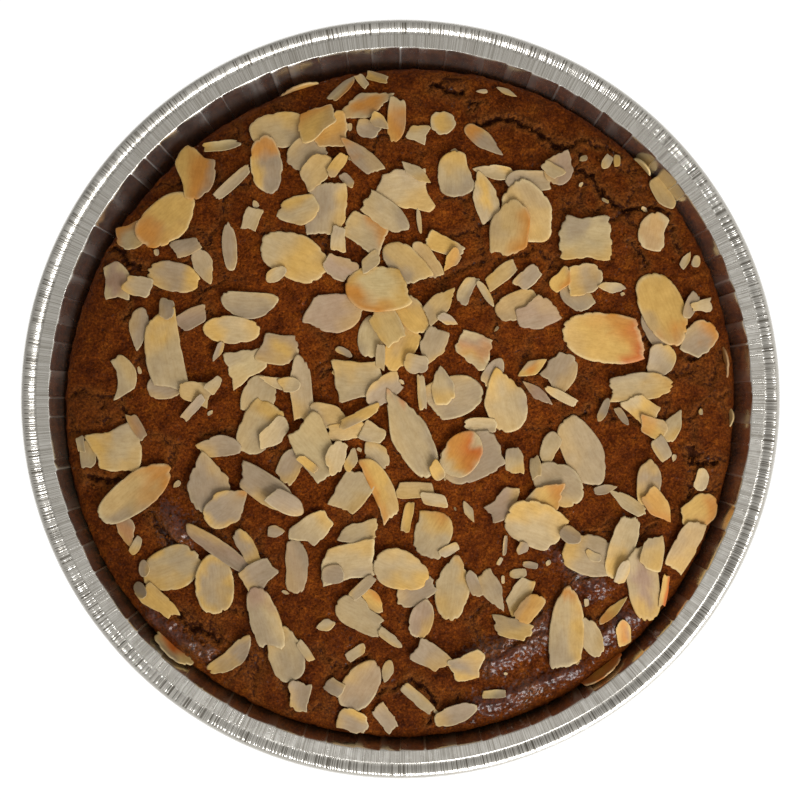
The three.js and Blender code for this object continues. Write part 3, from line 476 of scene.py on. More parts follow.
    (-19, -49.3, 6.5, 5.5, 0, "E", "A"), (13.8, -42.6, 6, 3, 28, "EW", "I"),
    (-21.2, -63.8, 5.8, 3.5, 15, "w", "I"), (-12.6, -71.6, 6.7, 3.2, 35, "EW", "I"),
    (-3.7, -77, 7.2, 3.4, 76, "w", "I"), (-18.6, -81.3, 6.2, 4.8, -30, "ENWS", "A"),
    (54.2, -44.3, 5.3, 2.9, -33, "Ns", "I"), (62.6, -48.5, 7.5, 3.6, 70, "W", "I"),
    (74.3, 58.3, 10.2, 5.4, -57, "N", "IG"), (47.8, -38.3, 6.5, 4.8, -30, "", "A"),
    # The smallest pieces
    (5.3, 50.3, 7.5, 1.4, 97, "", "I"), (-10.8, 90, 4.8, 2.5, -52, "EW", "I"),
    (-15, 61.8, 5, 2.6, -45, "EW", "A"), (58.3, 67, 4.5, 2.7, 60, "E", "I"),
    (61.2, 67.4, 3.5, 2, 90, "EW", "G"), (83.8, 39, 3.5, 2.3, 90, "EN", "I"),
    (33.2, -49.2, 5, 2.8, 8, "E", "I"), (-35, -37.3, 5, 3.5, 0, "We", "A"),
    (23, 87, 3.7, 1.3, 0, "Ew", "I"), (30, 87, 7, 2, -25, "we", "I"),
    (-90.4, -12.8, 5, 2.6, -75, "ENWS", "I"), (29.5, -41.3, 6, 1.2, 85, "EW", "A"),
    (34.4, -42.2, 4.2, 3.2, 60, "Nw", "A"), (36.6, -46.8, 4.6, 2, -10, "E", "A"),
    (-51.3, 13.3, 6.5, 2, 62, "Nw", "A"), (-16, 13.4, 5.4, 2.2, -28, "S", "A"),
]

# Slices leaning in the gap along the wall: the angle round the tart, the radius and height
# of the top edge, the slice's length and height, its lean from upright in degrees, and its tone.
LEANING = [
    (108, 93.4, 34, 14, 9, 26, "GT"),
    (6.6, 93.4, 35.4, 10.8, 8, 20, "GO"),
    (-53.3, 97.5, 36, 14.2, 7, 35, "OTC"),
    (-132.2, 97.9, 36.4, 14, 8, 42, "LGOC"),
    (-3.1, 94.5, 34.5, 6.5, 7, 30, "G"),
    (43.8, 96, 35, 6.8, 7, 14, "LGC"),
]

# The wide cracks, each as the few points it turns at
CRACKS = [
    [(9.5, 88.5), (13, 87), (17, 86.7)],
    [(22.5, 77.5), (27, 79.5), (33, 79), (38.5, 75.5), (44, 71.3), (48.5, 71.3)],
    [(50, 64.5), (53.5, 63.5), (57, 57.5), (60.5, 55.5), (63.5, 52.8), (69, 54), (72.5, 53.8)],
    [(-82, 42.5), (-78.5, 41.5), (-77.5, 38.5), (-73, 37.5)],
    [(-89, -22), (-86, -22.7), (-82, -23), (-79.5, -22)],
    [(-70, -32), (-68.5, -35), (-64, -41.5), (-61, -42)],
    [(-65, -59.4), (-59.3, -63.6), (-55, -66), (-51, -68.5)],
    [(3, -79.5), (6.5, -82), (9.5, -85.5)],
    [(82, -14), (82.5, -18.5), (85.5, -18.3), (88.5, -18)],
]

# Narrower cracks
THIN_CRACKS = [
    [(19, 84.5), (23, 84), (20, 82)], [(57, 54), (55, 52)], [(-77, 28), (-76.5, 26), (-77.7, 22)],
    [(-79, -1), (-78, -4), (-77.5, -8)], [(-15.5, -75.3), (-12, -74.2), (-9, -73.5)],
    [(-8, -84), (-4, -82), (-1, -81.5)], [(8.5, -88), (8, -92)], [(86, 12.5), (83, 11.5), (80.5, 11.5)],
    [(82.3, -25), (81.5, -28.5)], [(-22, 6.5), (-21, 8), (-17, 9), (-13, 11)],
    [(48.5, 71.3), (50.5, 68), (50, 64.5)], [(49, 71.8), (51, 74.1), (54, 72.1), (59.6, 70.7), (62, 68)],
    [(72.5, 54), (75.9, 52.7), (77.9, 46.2), (78.7, 42)],
    [(64.7, 44.8), (67.5, 42), (69.4, 39.1), (68.9, 36.3)],
    [(-56, -9.8), (-52, -10), (-48, -9)], [(53.5, -2), (52, -4.5), (49, -5.3), (46, -6)],
]

# Folds where the crust has sagged and caught a shine
FOLDS = [
    [(21, -73), (24, -71), (28.3, -69.2), (33.8, -66.3), (39.1, -63.5)],
    [(26, -74.5), (30.2, -72.8), (40, -67.5)],
    [(22.6, -87.2), (30.2, -85), (37.4, -81.1), (43.5, -78.6), (49.6, -76.8)],
    [(55, -69), (60, -65), (66, -62)],
    [(-66.8, -31), (-64.5, -35), (-62.6, -39)],
    [(44, -43), (49, -50), (56, -53)],
    [(-71, -60.5), (-66, -65), (-60.5, -69), (-56, -72)],
]


# Helpers

NOISE_CELLS = 256
NOISE_TABLE = np.random.default_rng(NOISE_SEED).random((NOISE_CELLS, NOISE_CELLS))
NOISE_SHIFT = (31.7, 17.3)


def smoothstep(value, low, high):
    share = np.clip((value - low) / (high - low), 0, 1)
    return share * share * (3 - 2 * share)


def lerp(start, end, share):
    return start + (end - start) * share


def noise(x, y, span, seed=0):
    """Smooth noise from -1 to 1 with humps about one span apart."""
    u = np.asarray(x) / span + NOISE_SHIFT[0] * seed
    v = np.asarray(y) / span + NOISE_SHIFT[1] * seed
    i = np.floor(u).astype(int)
    j = np.floor(v).astype(int)
    across = smoothstep(u - i, 0, 1)

    def along_row(row):
        left = NOISE_TABLE[i % NOISE_CELLS, row % NOISE_CELLS]
        right = NOISE_TABLE[(i + 1) % NOISE_CELLS, row % NOISE_CELLS]
        return lerp(left, right, across)

    return 2 * lerp(along_row(j), along_row(j + 1), smoothstep(v - j, 0, 1)) - 1


def seeded_draw(x, y):
    """The same place always draws the same shares between 0 and 1."""
    state = 1 + math.floor(DRAW_STEPS[0] * abs(x) + DRAW_STEPS[1] * abs(y) + 0.5)

    def draw():
        nonlocal state
        state = state * DRAW_FACTOR % DRAW_PRIME
        return state / DRAW_PRIME

    return draw


def scattered(draws, reach):
    """A place drawn evenly from a disc."""
    radius = reach * math.sqrt(draws.random())
    angle = math.tau * draws.random()
    return radius * math.cos(angle), radius * math.sin(angle)


def circle(count):
    """Angles evenly round a circle."""
    return np.linspace(0, math.tau, count, endpoint=False)


def linear(colour):
    """A colour of 0 to 255 as light."""
    share = np.array(colour) / 255
    return np.where(share < 0.04045, share / 12.92, ((share + 0.055) / 1.055) ** 2.4)


def opaque(colour):
    return (*linear(colour), 1)


def grid_index(rows, columns, start=0):
    """The numbers of points that lie in rows."""
    return start + np.arange(rows * columns).reshape(rows, columns)


def band_faces(index):
    """Triangles between neighbouring rings of points. Each row of index is a ring."""
    a = index[:-1]
    b = np.roll(a, -1, axis=1)
    d = index[1:]
    c = np.roll(d, -1, axis=1)
    lower = np.stack([a, b, c], axis=-1).reshape(-1, 3)
    upper = np.stack([a, c, d], axis=-1).reshape(-1, 3)
    return np.concatenate([lower, upper])


def fan_faces(ring, middle):
    """Triangles from a ring to its middle point."""
    return np.stack([ring, np.roll(ring, -1), np.full(len(ring), middle)], axis=-1)


def make_piece(name, points, faces, material):
    """A mesh from points in millimetres, which rides on the only body and shares a material slot."""
    mesh = bpy.data.meshes.new(name)
    mesh.from_pydata((points * MM).tolist(), [], faces.tolist())
    mesh.shade_smooth()
    mesh.materials.append(material)
    piece = bpy.data.objects.new(name, mesh)
    bpy.context.scene.collection.objects.link(piece)
    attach(piece, BODY)
    return piece


# Colours, vectors and numbers of a piece's points, which its material reads by name


def add_colours(piece, name, colours):
    layer = piece.data.color_attributes.new(name, "FLOAT_COLOR", "POINT")
    layer.data.foreach_set("color", np.column_stack([colours, np.ones(len(colours))]).ravel())


def add_vectors(piece, name, vectors):
    layer = piece.data.attributes.new(name, "FLOAT_VECTOR", "POINT")
    layer.data.foreach_set("vector", np.asarray(vectors).ravel())


def add_values(piece, **values):
    for name, numbers in values.items():
        layer = piece.data.attributes.new(name, "FLOAT", "POINT")
        layer.data.foreach_set("value", np.asarray(numbers, float))


# Material nodes


def start_material(name):
    material = bpy.data.materials.new(name)
    material.use_nodes = True
    return material, material.node_tree, material.node_tree.nodes["Principled BSDF"]


def set_input(tree, socket, value):
    """Links a socket to another one, or sets its value."""
    if isinstance(value, bpy.types.NodeSocket):
        tree.links.new(value, socket)
    else:
        socket.default_value = value


def set_inputs(tree, node, inputs):
    for name, value in inputs.items():
        set_input(tree, node.inputs[name], value)


def add_node(tree, kind, settings=None, **inputs):
    """A shader node with its settings and inputs. An input's name has _ for a space."""
    node = tree.nodes.new("ShaderNode" + kind)
    for key, value in (settings or {}).items():
        setattr(node, key, value)
    set_inputs(tree, node, {key.replace("_", " "): value for key, value in inputs.items()})
    return node


def add_maths(tree, kind, operation, *operands):
    node = add_node(tree, kind, {"operation": operation})
    for socket, operand in zip(node.inputs, operands):
        set_input(tree, socket, operand)
    return node


def add_sum(tree, first, second):
    return add_maths(tree, "Math", "ADD", first, second).outputs["Value"]


def add_vector(tree, operation, *vectors):
    return add_maths(tree, "VectorMath", operation, *vectors).outputs["Vector"]


def add_rim_place(tree, place):
    """Each place moved straight in or out onto the rim's circle, where noise makes radial lines."""
    flat = add_vector(tree, "MULTIPLY", place, (1, 1, 0))
    return add_vector(tree, "MULTIPLY", add_vector(tree, "NORMALIZE", flat), 3 * (RIM_RADIUS * MM,))


def add_ramp(tree, factor, stops):
    """A colour ramp through (position, colour of 0 to 255) stops."""
    ramp = add_node(tree, "ValToRGB", Fac=factor)
    elements = ramp.color_ramp.elements
    while len(elements) < len(stops):
        elements.new(0.5)
    for element, (position, colour) in zip(elements, stops):
        element.position = position
        element.color = opaque(colour)
    return ramp.outputs["Color"]


def add_range(tree, value, start, end, low=0.0, high=1.0):
    """A value spread from low..high onto start..end."""
    node = add_node(tree, "MapRange", Value=value, From_Min=low, From_Max=high, To_Min=start, To_Max=end)
    return node.outputs["Result"]


def add_noise(tree, vector, span, detail=3.0, roughness=0.55):
    """Noise whose humps are about one span, in millimetres, apart."""
    inputs = {"Vector": vector, "Scale": 1 / (span * MM), "Detail": detail, "Roughness": roughness}
    return add_node(tree, "TexNoise", **inputs).outputs["Fac"]


def add_blend(tree, kind, factor, first, second):
    """Two colours blended."""
    node = tree.nodes.new("ShaderNodeMix")
    node.data_type = "RGBA"
    node.blend_type = kind
    sockets = [s for s in node.inputs if s.type in ("RGBA", "VALUE") and s.enabled]
    for socket, value in zip(sockets, (factor, first, second)):
        set_input(tree, socket, value)
    return next(s for s in node.outputs if s.enabled)


def add_shades(tree, factor, colour, pattern, shades):
    """A colour multiplied by the shades that a pattern picks."""
    return add_blend(tree, "MULTIPLY", factor, colour, add_ramp(tree, pattern, shades))


def add_bump(tree, height, strength, depth, normal=None):
    """Bumps of about the given depth in millimetres."""
    inputs = {"Height": height, "Strength": strength, "Distance": depth * MM}
    if normal:
        inputs["Normal"] = normal
    return add_node(tree, "Bump", **inputs).outputs["Normal"]


def add_attribute(tree, name, output="Fac"):
    return add_node(tree, "Attribute", {"attribute_name": name}).outputs[output]


def make_crust_material():
    """Baked spiced dough: mottled brown, pored, with a broken gloss, painted shade in its cracks and
    pores and painted glints on its grain.
    """
    material, tree, shader = start_material("crust")
    place = add_node(tree, "TexCoord").outputs["Object"]
    patches = add_noise(tree, place, PATCH_SPAN, detail=5, roughness=0.6)
    grain = add_noise(tree, place, GRAIN_SPAN, detail=4, roughness=0.75)
    flecks = add_noise(tree, place, FLECK_SPAN, detail=2)
    pores = add_node(tree, "TexVoronoi", Vector=place, Scale=1 / (PORE_SPAN * MM)).outputs["Distance"]
    sheen = add_attribute(tree, "sheen")

    spots = add_sum(tree, add_range(tree, flecks, *FLECK_GLOSS), add_range(tree, grain, *GRAIN_GLOSS))
    gloss = add_range(tree, add_sum(tree, sheen, spots), 0, 1, 0, 0.5)
    breaks = add_sum(tree, add_range(tree, flecks, *FLECK_BREAK), add_range(tree, grain, *GRAIN_BREAK))
    # painted shade in the cracks, its edge broken up by flecks and grain
    depth = add_range(tree, add_sum(tree, add_attribute(tree, "deep"), breaks), 0, 1, 0.55, 0.8)

    brown = add_ramp(tree, patches, CRUST_BROWNS)
    # painted shade: the crust darker towards the rim and towards -X and -Y, partly browner baking
    browned = add_blend(tree, "MULTIPLY", 1.0, brown, add_attribute(tree, "browned", "Color"))
    # the crust's mottled grain, with painted glints on its brightest grains
    grained_and_glinted = add_shades(tree, 1.0, browned, grain, GRAIN_SHADES_AND_GLINTS)
    # painted shade in the pores
    pored = add_shades(tree, 0.45, grained_and_glinted, pores, PORE_PAINTED_SHADE)
    moist = add_blend(tree, "MULTIPLY", gloss, pored, opaque(MOIST_TINT))
    crumb = add_ramp(tree, grain, TORN_BROWNS)
    torn = add_blend(tree, "MIX", add_attribute(tree, "torn"), moist, crumb)
    colour = add_blend(tree, "MIX", depth, torn, opaque(CRACK_SHADE_BROWN))

    lumpy = add_noise(tree, place, LUMP_SPAN, detail=1)
    lumps = add_bump(tree, lumpy, add_range(tree, sheen, 0.3, 1), LUMP_DEPTH)
    hollows = add_bump(tree, add_range(tree, pores, 0, 1, 0.05, 0.35), 0.5, PORE_DEPTH, lumps)
    set_inputs(tree, shader, {
        "Base Color": colour,
        "Roughness": 0.6,
        "Specular IOR Level": 0.05,
        "Normal": add_bump(tree, grain, 0.9, GRAIN_DEPTH, hollows),
        "Coat Weight": gloss,
        "Coat Roughness": 0.3,
        "Coat Normal": lumps,
    })
    return material


def make_almond_material():
    """Toasted almond: the slice's own tone with faint streaks along its length."""
    material, tree, shader = start_material("almond")
    place = add_node(tree, "TexCoord").outputs["Object"]
    grain = add_attribute(tree, "grain", "Vector")
    lengthwise = add_node(tree, "Mapping", Vector=grain, Scale=STREAK_STRETCH).outputs["Vector"]
    streaks = add_noise(tree, lengthwise, STREAK_SPAN)
    clouds = add_noise(tree, place, CLOUD_SPAN)
    specks = add_noise(tree, place, SPECK_SPAN, detail=4, roughness=0.7)
    tone = add_attribute(tree, "tone", "Color")
    streaked = add_shades(tree, 0.45, tone, streaks, STREAK_SHADES)
    clouded = add_shades(tree, 0.4, streaked, clouds, CLOUD_SHADES)
    set_inputs(tree, shader, {
        "Base Color": add_shades(tree, 0.3, clouded, specks, SPECK_SHADES),
        "Roughness": add_range(tree, clouds, 0.45, 0.62, 0.3, 0.7),
        "Specular IOR Level": 0.3,
        "Normal": add_bump(tree, streaks, 0.3, STREAK_DEPTH),
    })
    return material


def make_foil_material():
    """Thin bright aluminium: a little clouded, finely lined on the flange and crimped round the rim."""
    material, tree, shader = start_material("foil")
    place = add_node(tree, "TexCoord").outputs["Object"]
    around = add_rim_place(tree, place)
    lines = add_noise(tree, around, LINE_SPAN, detail=2)
    crimps = add_noise(tree, around, CRIMP_SPAN, detail=1)
    on_flange = add_attribute(tree, "lined")
    on_rim = add_attribute(tree, "crimped")
    silver = add_ramp(tree, add_noise(tree, place, SILVER_SPAN, detail=5), SILVERS)
    # painted shade in the grooves of the flange's lines and of the crimps
    lined = add_shades(tree, on_flange, silver, lines, LINE_GROOVE_SHADE)
    crimped = add_shades(tree, on_rim, lined, crimps, CRIMP_GROOVE_SHADE)
    # a baked-on film and painted shade darken the wall low down and on one side
    film = add_attribute(tree, "film")
    line_bumps = add_bump(tree, lines, on_flange, LINE_DEPTH)
    set_inputs(tree, shader, {
        "Base Color": add_blend(tree, "MULTIPLY", film, crimped, opaque(FILM_AND_SHADE_COLOUR)),
        "Metallic": 0.975,
        "Roughness": add_attribute(tree, "scuff"),
        "Normal": add_bump(tree, crimps, on_rim, CRIMP_DEPTH, line_bumps),
    })
    return material


# Cake


def wall_climb(z):
    """How far up the wall a height is, from 0 at its foot to 1 at its top."""
    return (z - WALL_FOOT[1]) / (WALL_TOP[1] - WALL_FOOT[1])


def wall_radius(z):
    return lerp(WALL_FOOT[0], WALL_TOP[0], wall_climb(z))


def outline_swell(angle):
    return 1 + sum(size * np.sin(count * angle + phase) for count, size, phase in OUTLINE_LOBES)


def outline_share(x, y):
    """How far a place lies from the cake's middle, with 1 at its outline."""
    dx = x - CAKE_SHIFT[0]
    dy = y - CAKE_SHIFT[1]
    return np.hypot(dx, dy) / (CAKE_RADIUS * outline_swell(np.arctan2(dy, dx)))


def crust_height(x, y):
    """The crust's main form, as in the solid."""
    dome = np.sqrt(np.maximum(0, 1 - outline_share(x, y) ** SHOULDER_POWER))
    crossed = np.sin(x / SWELL_SPANS[0] + SWELL_PHASE) * np.cos(y / SWELL_SPANS[1])
    waves = crossed + SLANT_SHARE * np.sin((x + y) / SWELL_SPANS[2])
    return WIDEST_Z + (CREST_Z - WIDEST_Z + SWELL * waves) * dome


def browning_and_shade(points, strength):
    """The share of its tone that each point gives back, less towards the rim and towards -X and -Y:
    painted shade, on the crust partly browner baking.
    """
    x, y = points[:, :2].T
    share = (x * x + y * y) / CAKE_RADIUS ** 2
    aside = (SIDE_PAINTED_SHADE[0] * x + SIDE_PAINTED_SHADE[1] * y) / CAKE_RADIUS
    return np.exp(strength * (PALE_SHARE - share) + aside)


def near_line(points, x, y, margin):
    """Which places are in the box round a line of points, with a margin."""
    low_x, low_y = np.min(points, axis=0) - margin
    high_x, high_y = np.max(points, axis=0) + margin
    return np.nonzero((x > low_x) & (x < high_x) & (y > low_y) & (y < high_y))


def distance_to_line(points, x, y):
    nearest = np.full(np.shape(x), np.inf)
    for (x0, y0), (x1, y1) in zip(points, points[1:]):
        dx = x1 - x0
        dy = y1 - y0
        share = np.clip(((x - x0) * dx + (y - y0) * dy) / (dx * dx + dy * dy), 0, 1)
        nearest = np.minimum(nearest, np.hypot(x - x0 - share * dx, y - y0 - share * dy))
    return nearest


def plate_gap(x, y):
    """How far each place is from the edge of the plate of crust it is on."""
    i = np.floor(x / PLATE_SPAN).astype(int)
    j = np.floor(y / PLATE_SPAN).astype(int)
    gaps = []
    for column in (i - 1, i, i + 1):
        for row in (j - 1, j, j + 1):
            middle_x = PLATE_SPAN * (column + NOISE_TABLE[column % NOISE_CELLS, row % NOISE_CELLS])
            middle_y = PLATE_SPAN * (row + NOISE_TABLE[row % NOISE_CELLS, column % NOISE_CELLS])
            gaps.append(np.hypot(x - middle_x, y - middle_y))
    first, second = np.sort(gaps, axis=0)[:2]
    return (second - first) / 2


def nearness(lines, x, y, width):
    """How near each place is to some lines: 1 on a line, falling to 0 over about its width."""
    share = np.zeros(np.shape(x))
    for points in lines:
        near = near_line(points, x, y, 3 * width)
        gap = distance_to_line(points, x[near], y[near]) / width
        share[near] = np.maximum(share[near], np.exp(-gap ** 2))
    return share


def swayed(x, y, sways, seed):
    """Places moved to and fro by noise. Each sway has its size and its span."""
    moved = []
    for value in (x, y):
        for size, span in sways:
            value = value + size * noise(x, y, span, seed)
            seed += 1
        moved.append(value)
    return moved


def crack_share(part, x, y):
    """How far each place is in the hollow part of a crack, in the part with painted shade, or in the torn
    part.
    """
    width, thin_width, thin_strength = CRACK_PARTS[part]
    wide = nearness(CRACKS, x, y, width * CRACK_WIDTH)
    thin = nearness(THIN_CRACKS, x, y, thin_width * CRACK_WIDTH)
    return np.maximum(wide, thin_strength * thin)


def crust_relief(x, y):
    """The lift of each place above the main form, how much painted shade its cracks give it, and how torn
    and glossy it is.
    """
    bent = swayed(x, y, FOLD_SWAYS, seed=15)
    fold = nearness(FOLDS, *bent, FOLD_WIDTH)
    sagged = nearness(FOLDS, *bent, SHEEN_WIDTH)
    humps = 0
    for seed, (span, height) in enumerate(CRUST_HUMPS):
        calm = 1 - FOLD_SMOOTHNESS * sagged if span < SHEEN_WIDTH else 1
        humps = humps + height * calm * noise(x, y, span, seed)
    ragged = swayed(x, y, CRACK_SWAYS, seed=5)
    gap = plate_gap(*ragged) / HAIR_CRACK_WIDTH
    split = smoothstep(noise(x, y, PLATE_SPAN, seed=14), *PLATES_SPLIT)
    hair = split * np.exp(-gap ** 2)
    frayed = HAIR_TORN * split * np.exp(-(gap / HAIR_TORN_WIDTH) ** 2)
    torn = np.maximum(crack_share("torn", *ragged), frayed)
    crumble = torn * CRUMBLE_HEIGHT * noise(x, y, CRUMBLE_SPAN, seed=9)
    lift = humps + LIP_HEIGHT * torn + FOLD_HEIGHT * fold + crumble
    lift -= CRACK_DEPTH * crack_share("hollow", *ragged) + HAIR_CRACK_DEPTH * hair
    # painted shade in the wide and the hair cracks
    deep = np.clip(crack_share("shaded", *ragged) + HAIR_CRACK_SHADE * hair, 0, 1)
    shine = SHINE * smoothstep(noise(x, y, SHINE_SPAN, seed=10), 0, 0.7)
    return lift, deep, torn, np.clip(sagged + shine, 0, 1)


def pit_depths(x, y):
    """Small round pits in the crust, drawn by a seed."""
    draws = np.random.default_rng(PIT_SEED)
    depths = np.zeros(len(x))
    for _ in range(PITS):
        dx, dy = scattered(draws, CAKE_RADIUS - PIT_MARGIN)
        px = dx + CAKE_SHIFT[0]
        py = dy + CAKE_SHIFT[1]
        size = lerp(*PIT_SIZES, draws.random() ** 2)
        near = near_line([(px, py)], x, y, 2 * size)
        gap = np.hypot(x[near] - px, y[near] - py) / (PIT_WIDTH * size)
        depths[near] = np.maximum(depths[near], PIT_DEPTH * size * np.exp(-gap ** 2))
    return depths


def disc_grid(cells):
    """A square grid pressed into a round one: unit x and y of its points, its faces and outer ring."""
    steps = np.linspace(-1, 1, cells + 1)
    a, b = np.meshgrid(steps, steps, indexing="ij")
    wide = np.abs(a) > np.abs(b)
    radius = np.where(wide, a, b)
    safe = np.where(radius == 0, 1, radius)
    angle = np.where(wide, math.pi / 4 * b / safe, math.pi / 2 - math.pi / 4 * a / safe)
    crowded = np.sign(radius) * (1 - (1 - np.abs(radius)) ** RIM_CROWDING)
    index = grid_index(cells + 1, cells + 1)
    corners = [index[:-1, :-1], index[1:, :-1], index[1:, 1:], index[:-1, 1:]]
    first, second, third, fourth = [corner.ravel() for corner in corners]
    faces = np.concatenate([np.stack([first, second, third], -1), np.stack([first, third, fourth], -1)])
    ring = np.concatenate([index[:-1, 0], index[-1, :-1], index[:0:-1, -1], index[0, :0:-1]])
    return (crowded * np.cos(angle)).ravel(), (crowded * np.sin(angle)).ravel(), faces, ring


def within_wall(x, y, z):
    """Places pulled in where they would touch the tray's wall."""
    hold = np.minimum(1, (wall_radius(z) - WALL_GAP) / np.maximum(1, np.hypot(x, y)))
    return x * hold, y * hold


def side_radius(z):
    """The cake's radius at a height: on the base, up the wall, then off it to the crust's outline."""
    if z < WALL_FOOT[1]:
        return BASE_RADIUS - WALL_GAP
    away = np.clip((z - LEAVES_WALL) / (WIDEST_Z - LEAVES_WALL), 0, 1)
    return lerp(wall_radius(z) - WALL_GAP, CAKE_RADIUS, away)


def cake_side(ring_points):
    """Rings of points down the cake's side, the lowest first, under the outer ring of the crust."""
    angle = np.arctan2(ring_points[:, 1] - CAKE_SHIFT[1], ring_points[:, 0] - CAKE_SHIFT[0])
    wall_levels = np.linspace(WALL_FOOT[1] + 1, WIDEST_Z, SIDE_LEVELS)[:-1]
    rings = []
    for z in (FOIL + BASE_GAP, *wall_levels):
        free = smoothstep(z, STUCK_BELOW, WIDEST_Z)
        rough = SIDE_ROUGHNESS * free * noise(angle * CAKE_RADIUS, z, SIDE_SPAN, seed=3)
        reach = side_radius(z) * lerp(1, outline_swell(angle), free) + rough
        x = reach * np.cos(angle) + free * CAKE_SHIFT[0]
        y = reach * np.sin(angle) + free * CAKE_SHIFT[1]
        rings.append(np.column_stack([*within_wall(x, y, z), np.full(len(angle), z)]))
    return rings


def make_cake(material):
    unit_x, unit_y, faces, ring = disc_grid(CAKE_CELLS)
    reach = CAKE_RADIUS * outline_swell(np.arctan2(unit_y, unit_x))
    x, y = within_wall(reach * unit_x + CAKE_SHIFT[0], reach * unit_y + CAKE_SHIFT[1], WIDEST_Z)
    inner = 1 - smoothstep(np.hypot(unit_x, unit_y), SMOOTH_EDGE, 1)
    rough = sum(noise(x, y, span, seed) for seed, span in enumerate(EDGE_SPANS, start=12))
    crumbled = 1 + EDGE_ROUGHNESS / CAKE_RADIUS * (1 - inner) * rough
    x = x * crumbled
    y = y * crumbled
    lift, deep, torn, sheen = crust_relief(x, y)
    pits = pit_depths(x, y)
    top = np.column_stack([x, y, crust_height(x, y) + inner * (lift - pits)])
    sides = cake_side(top[ring])
    points = np.concatenate([top, *sides, [[0, 0, FOIL + BASE_GAP]]])
    side_index = grid_index(len(sides), len(ring), len(top))
    side_faces = band_faces(np.concatenate([side_index, ring[None]]))
    bottom = fan_faces(side_index[0], len(points) - 1)[:, ::-1]
    piece = make_piece("cake", points, np.concatenate([faces, side_faces, bottom]), material)
    # painted shade in the cracks and in the deeper pits
    shaded = np.clip(deep + PIT_SHADE * (pits > SHADED_PIT), 0, 1)
    below = np.zeros(len(points) - len(top))
    # the crust's darkening towards the rim and the sides is painted shade, partly browner baking
    add_values(
        piece,
        deep=np.append(shaded * inner, below),
        torn=np.append(torn * inner, below + SIDE_TORN),
        sheen=np.append(sheen, below),
        browned=browning_and_shade(points, CRUST_BROWNING_AND_SHADE),
    )
    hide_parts("tart")


# Almond slices


def broken_reach(angles, size, seed, corner, draw):
    """How far a broken side lets a slice reach: two ragged breaks that meet at a corner or in a notch."""
    edge = size * np.tan(angles) / 2
    chips = CHIPPED * np.minimum(0, noise(edge, seed, CHIP_SPAN, 1))
    bites = (chips + RAGGED * (noise(edge, seed, RAGGED_SPAN) - 0.5)) * min(1, size / CHIPPED_SIZE)
    limits = []
    for slant in (corner * draw(), -corner * draw()):
        limits.append((ROUND_REACH + bites / size) / np.maximum(np.cos(angles - slant), LEAST_COSINE))
    corner_out = draw() < 0.5
    limit = np.minimum(*limits) if corner_out else NOTCH_SHARE * np.maximum(*limits)
    return np.where(np.cos(angles) > LEAST_COSINE, limit, np.inf)


def slice_reach(row, angles):
    """How far a slice reaches from its middle at each angle, as a share of its length and width."""
    x, y, length, width, _, broken = row[:6]
    draw = seeded_draw(x, y)
    leans = 2 * [width / length, 1]
    facings = []
    for quarter, lean in enumerate(leans):
        facings.append(quarter * math.pi / 2 + lean * BREAK_SLANT * (2 * draw() - 1))
    east, north, west, south = [BROKEN_REACH if side in broken else ROUND_REACH for side in "ENWS"]
    cos = np.cos(angles)
    sin = np.sin(angles)
    pointed = [side in broken for side in "enws"]
    drawn_out = np.where(cos > 0, pointed[0], pointed[2]) | np.where(sin > 0, pointed[1], pointed[3])
    power = np.where(drawn_out, POINTEDNESS, BLUNTNESS - TIP_TAPER * cos)
    along = np.abs(cos / np.where(cos > 0, east, west)) ** power
    across = np.abs(sin / np.where(sin > 0, north, south)) ** power
    reach = (along + across) ** (-1 / power)
    for count in WOBBLE_COUNTS:
        reach = reach * (1 + WOBBLE * (2 * draw() - 1) * np.sin(count * angles + math.tau * draw()))
    size = (length + width) / 2
    nibbles = np.maximum(0, noise(size * cos, size * sin, NIBBLE_SPAN, x - y) - NIBBLED_ABOVE)
    reach = reach - NIBBLED * min(1, size / CHIPPED_SIZE) / size * nibbles
    for side, facing, lean in zip("ENWS", facings, leans):
        if side in broken:
            limit = broken_reach(angles - facing, size, x + y, lean * BREAK_CORNER, draw)
            reach = np.minimum(reach, limit)
    return reach


def slice_plan(row, shares, angles):
    """Places of a slice's points in its own frame: rings from its edge to its middle."""
    length, width = row[2:4]
    bend = row[7] if len(row) > 7 else 0
    reach = np.outer(shares, slice_reach(row, angles))
    along = length * reach * np.cos(angles)
    across = width * reach * np.sin(angles)
    return along, across + bend * ((2 * along / length) ** 2 - 0.5)


def inside_outline(px, py, x, y):
    """Which places lie inside a closed outline."""
    inside = np.zeros(x.shape, bool)
    for ax, ay, bx, by in zip(px, py, np.roll(px, -1), np.roll(py, -1)):
        if ay == by:
            continue
        crosses = (ay > y) != (by > y)
        inside ^= crosses & (x < ax + (bx - ax) * (y - ay) / (by - ay))
    return inside


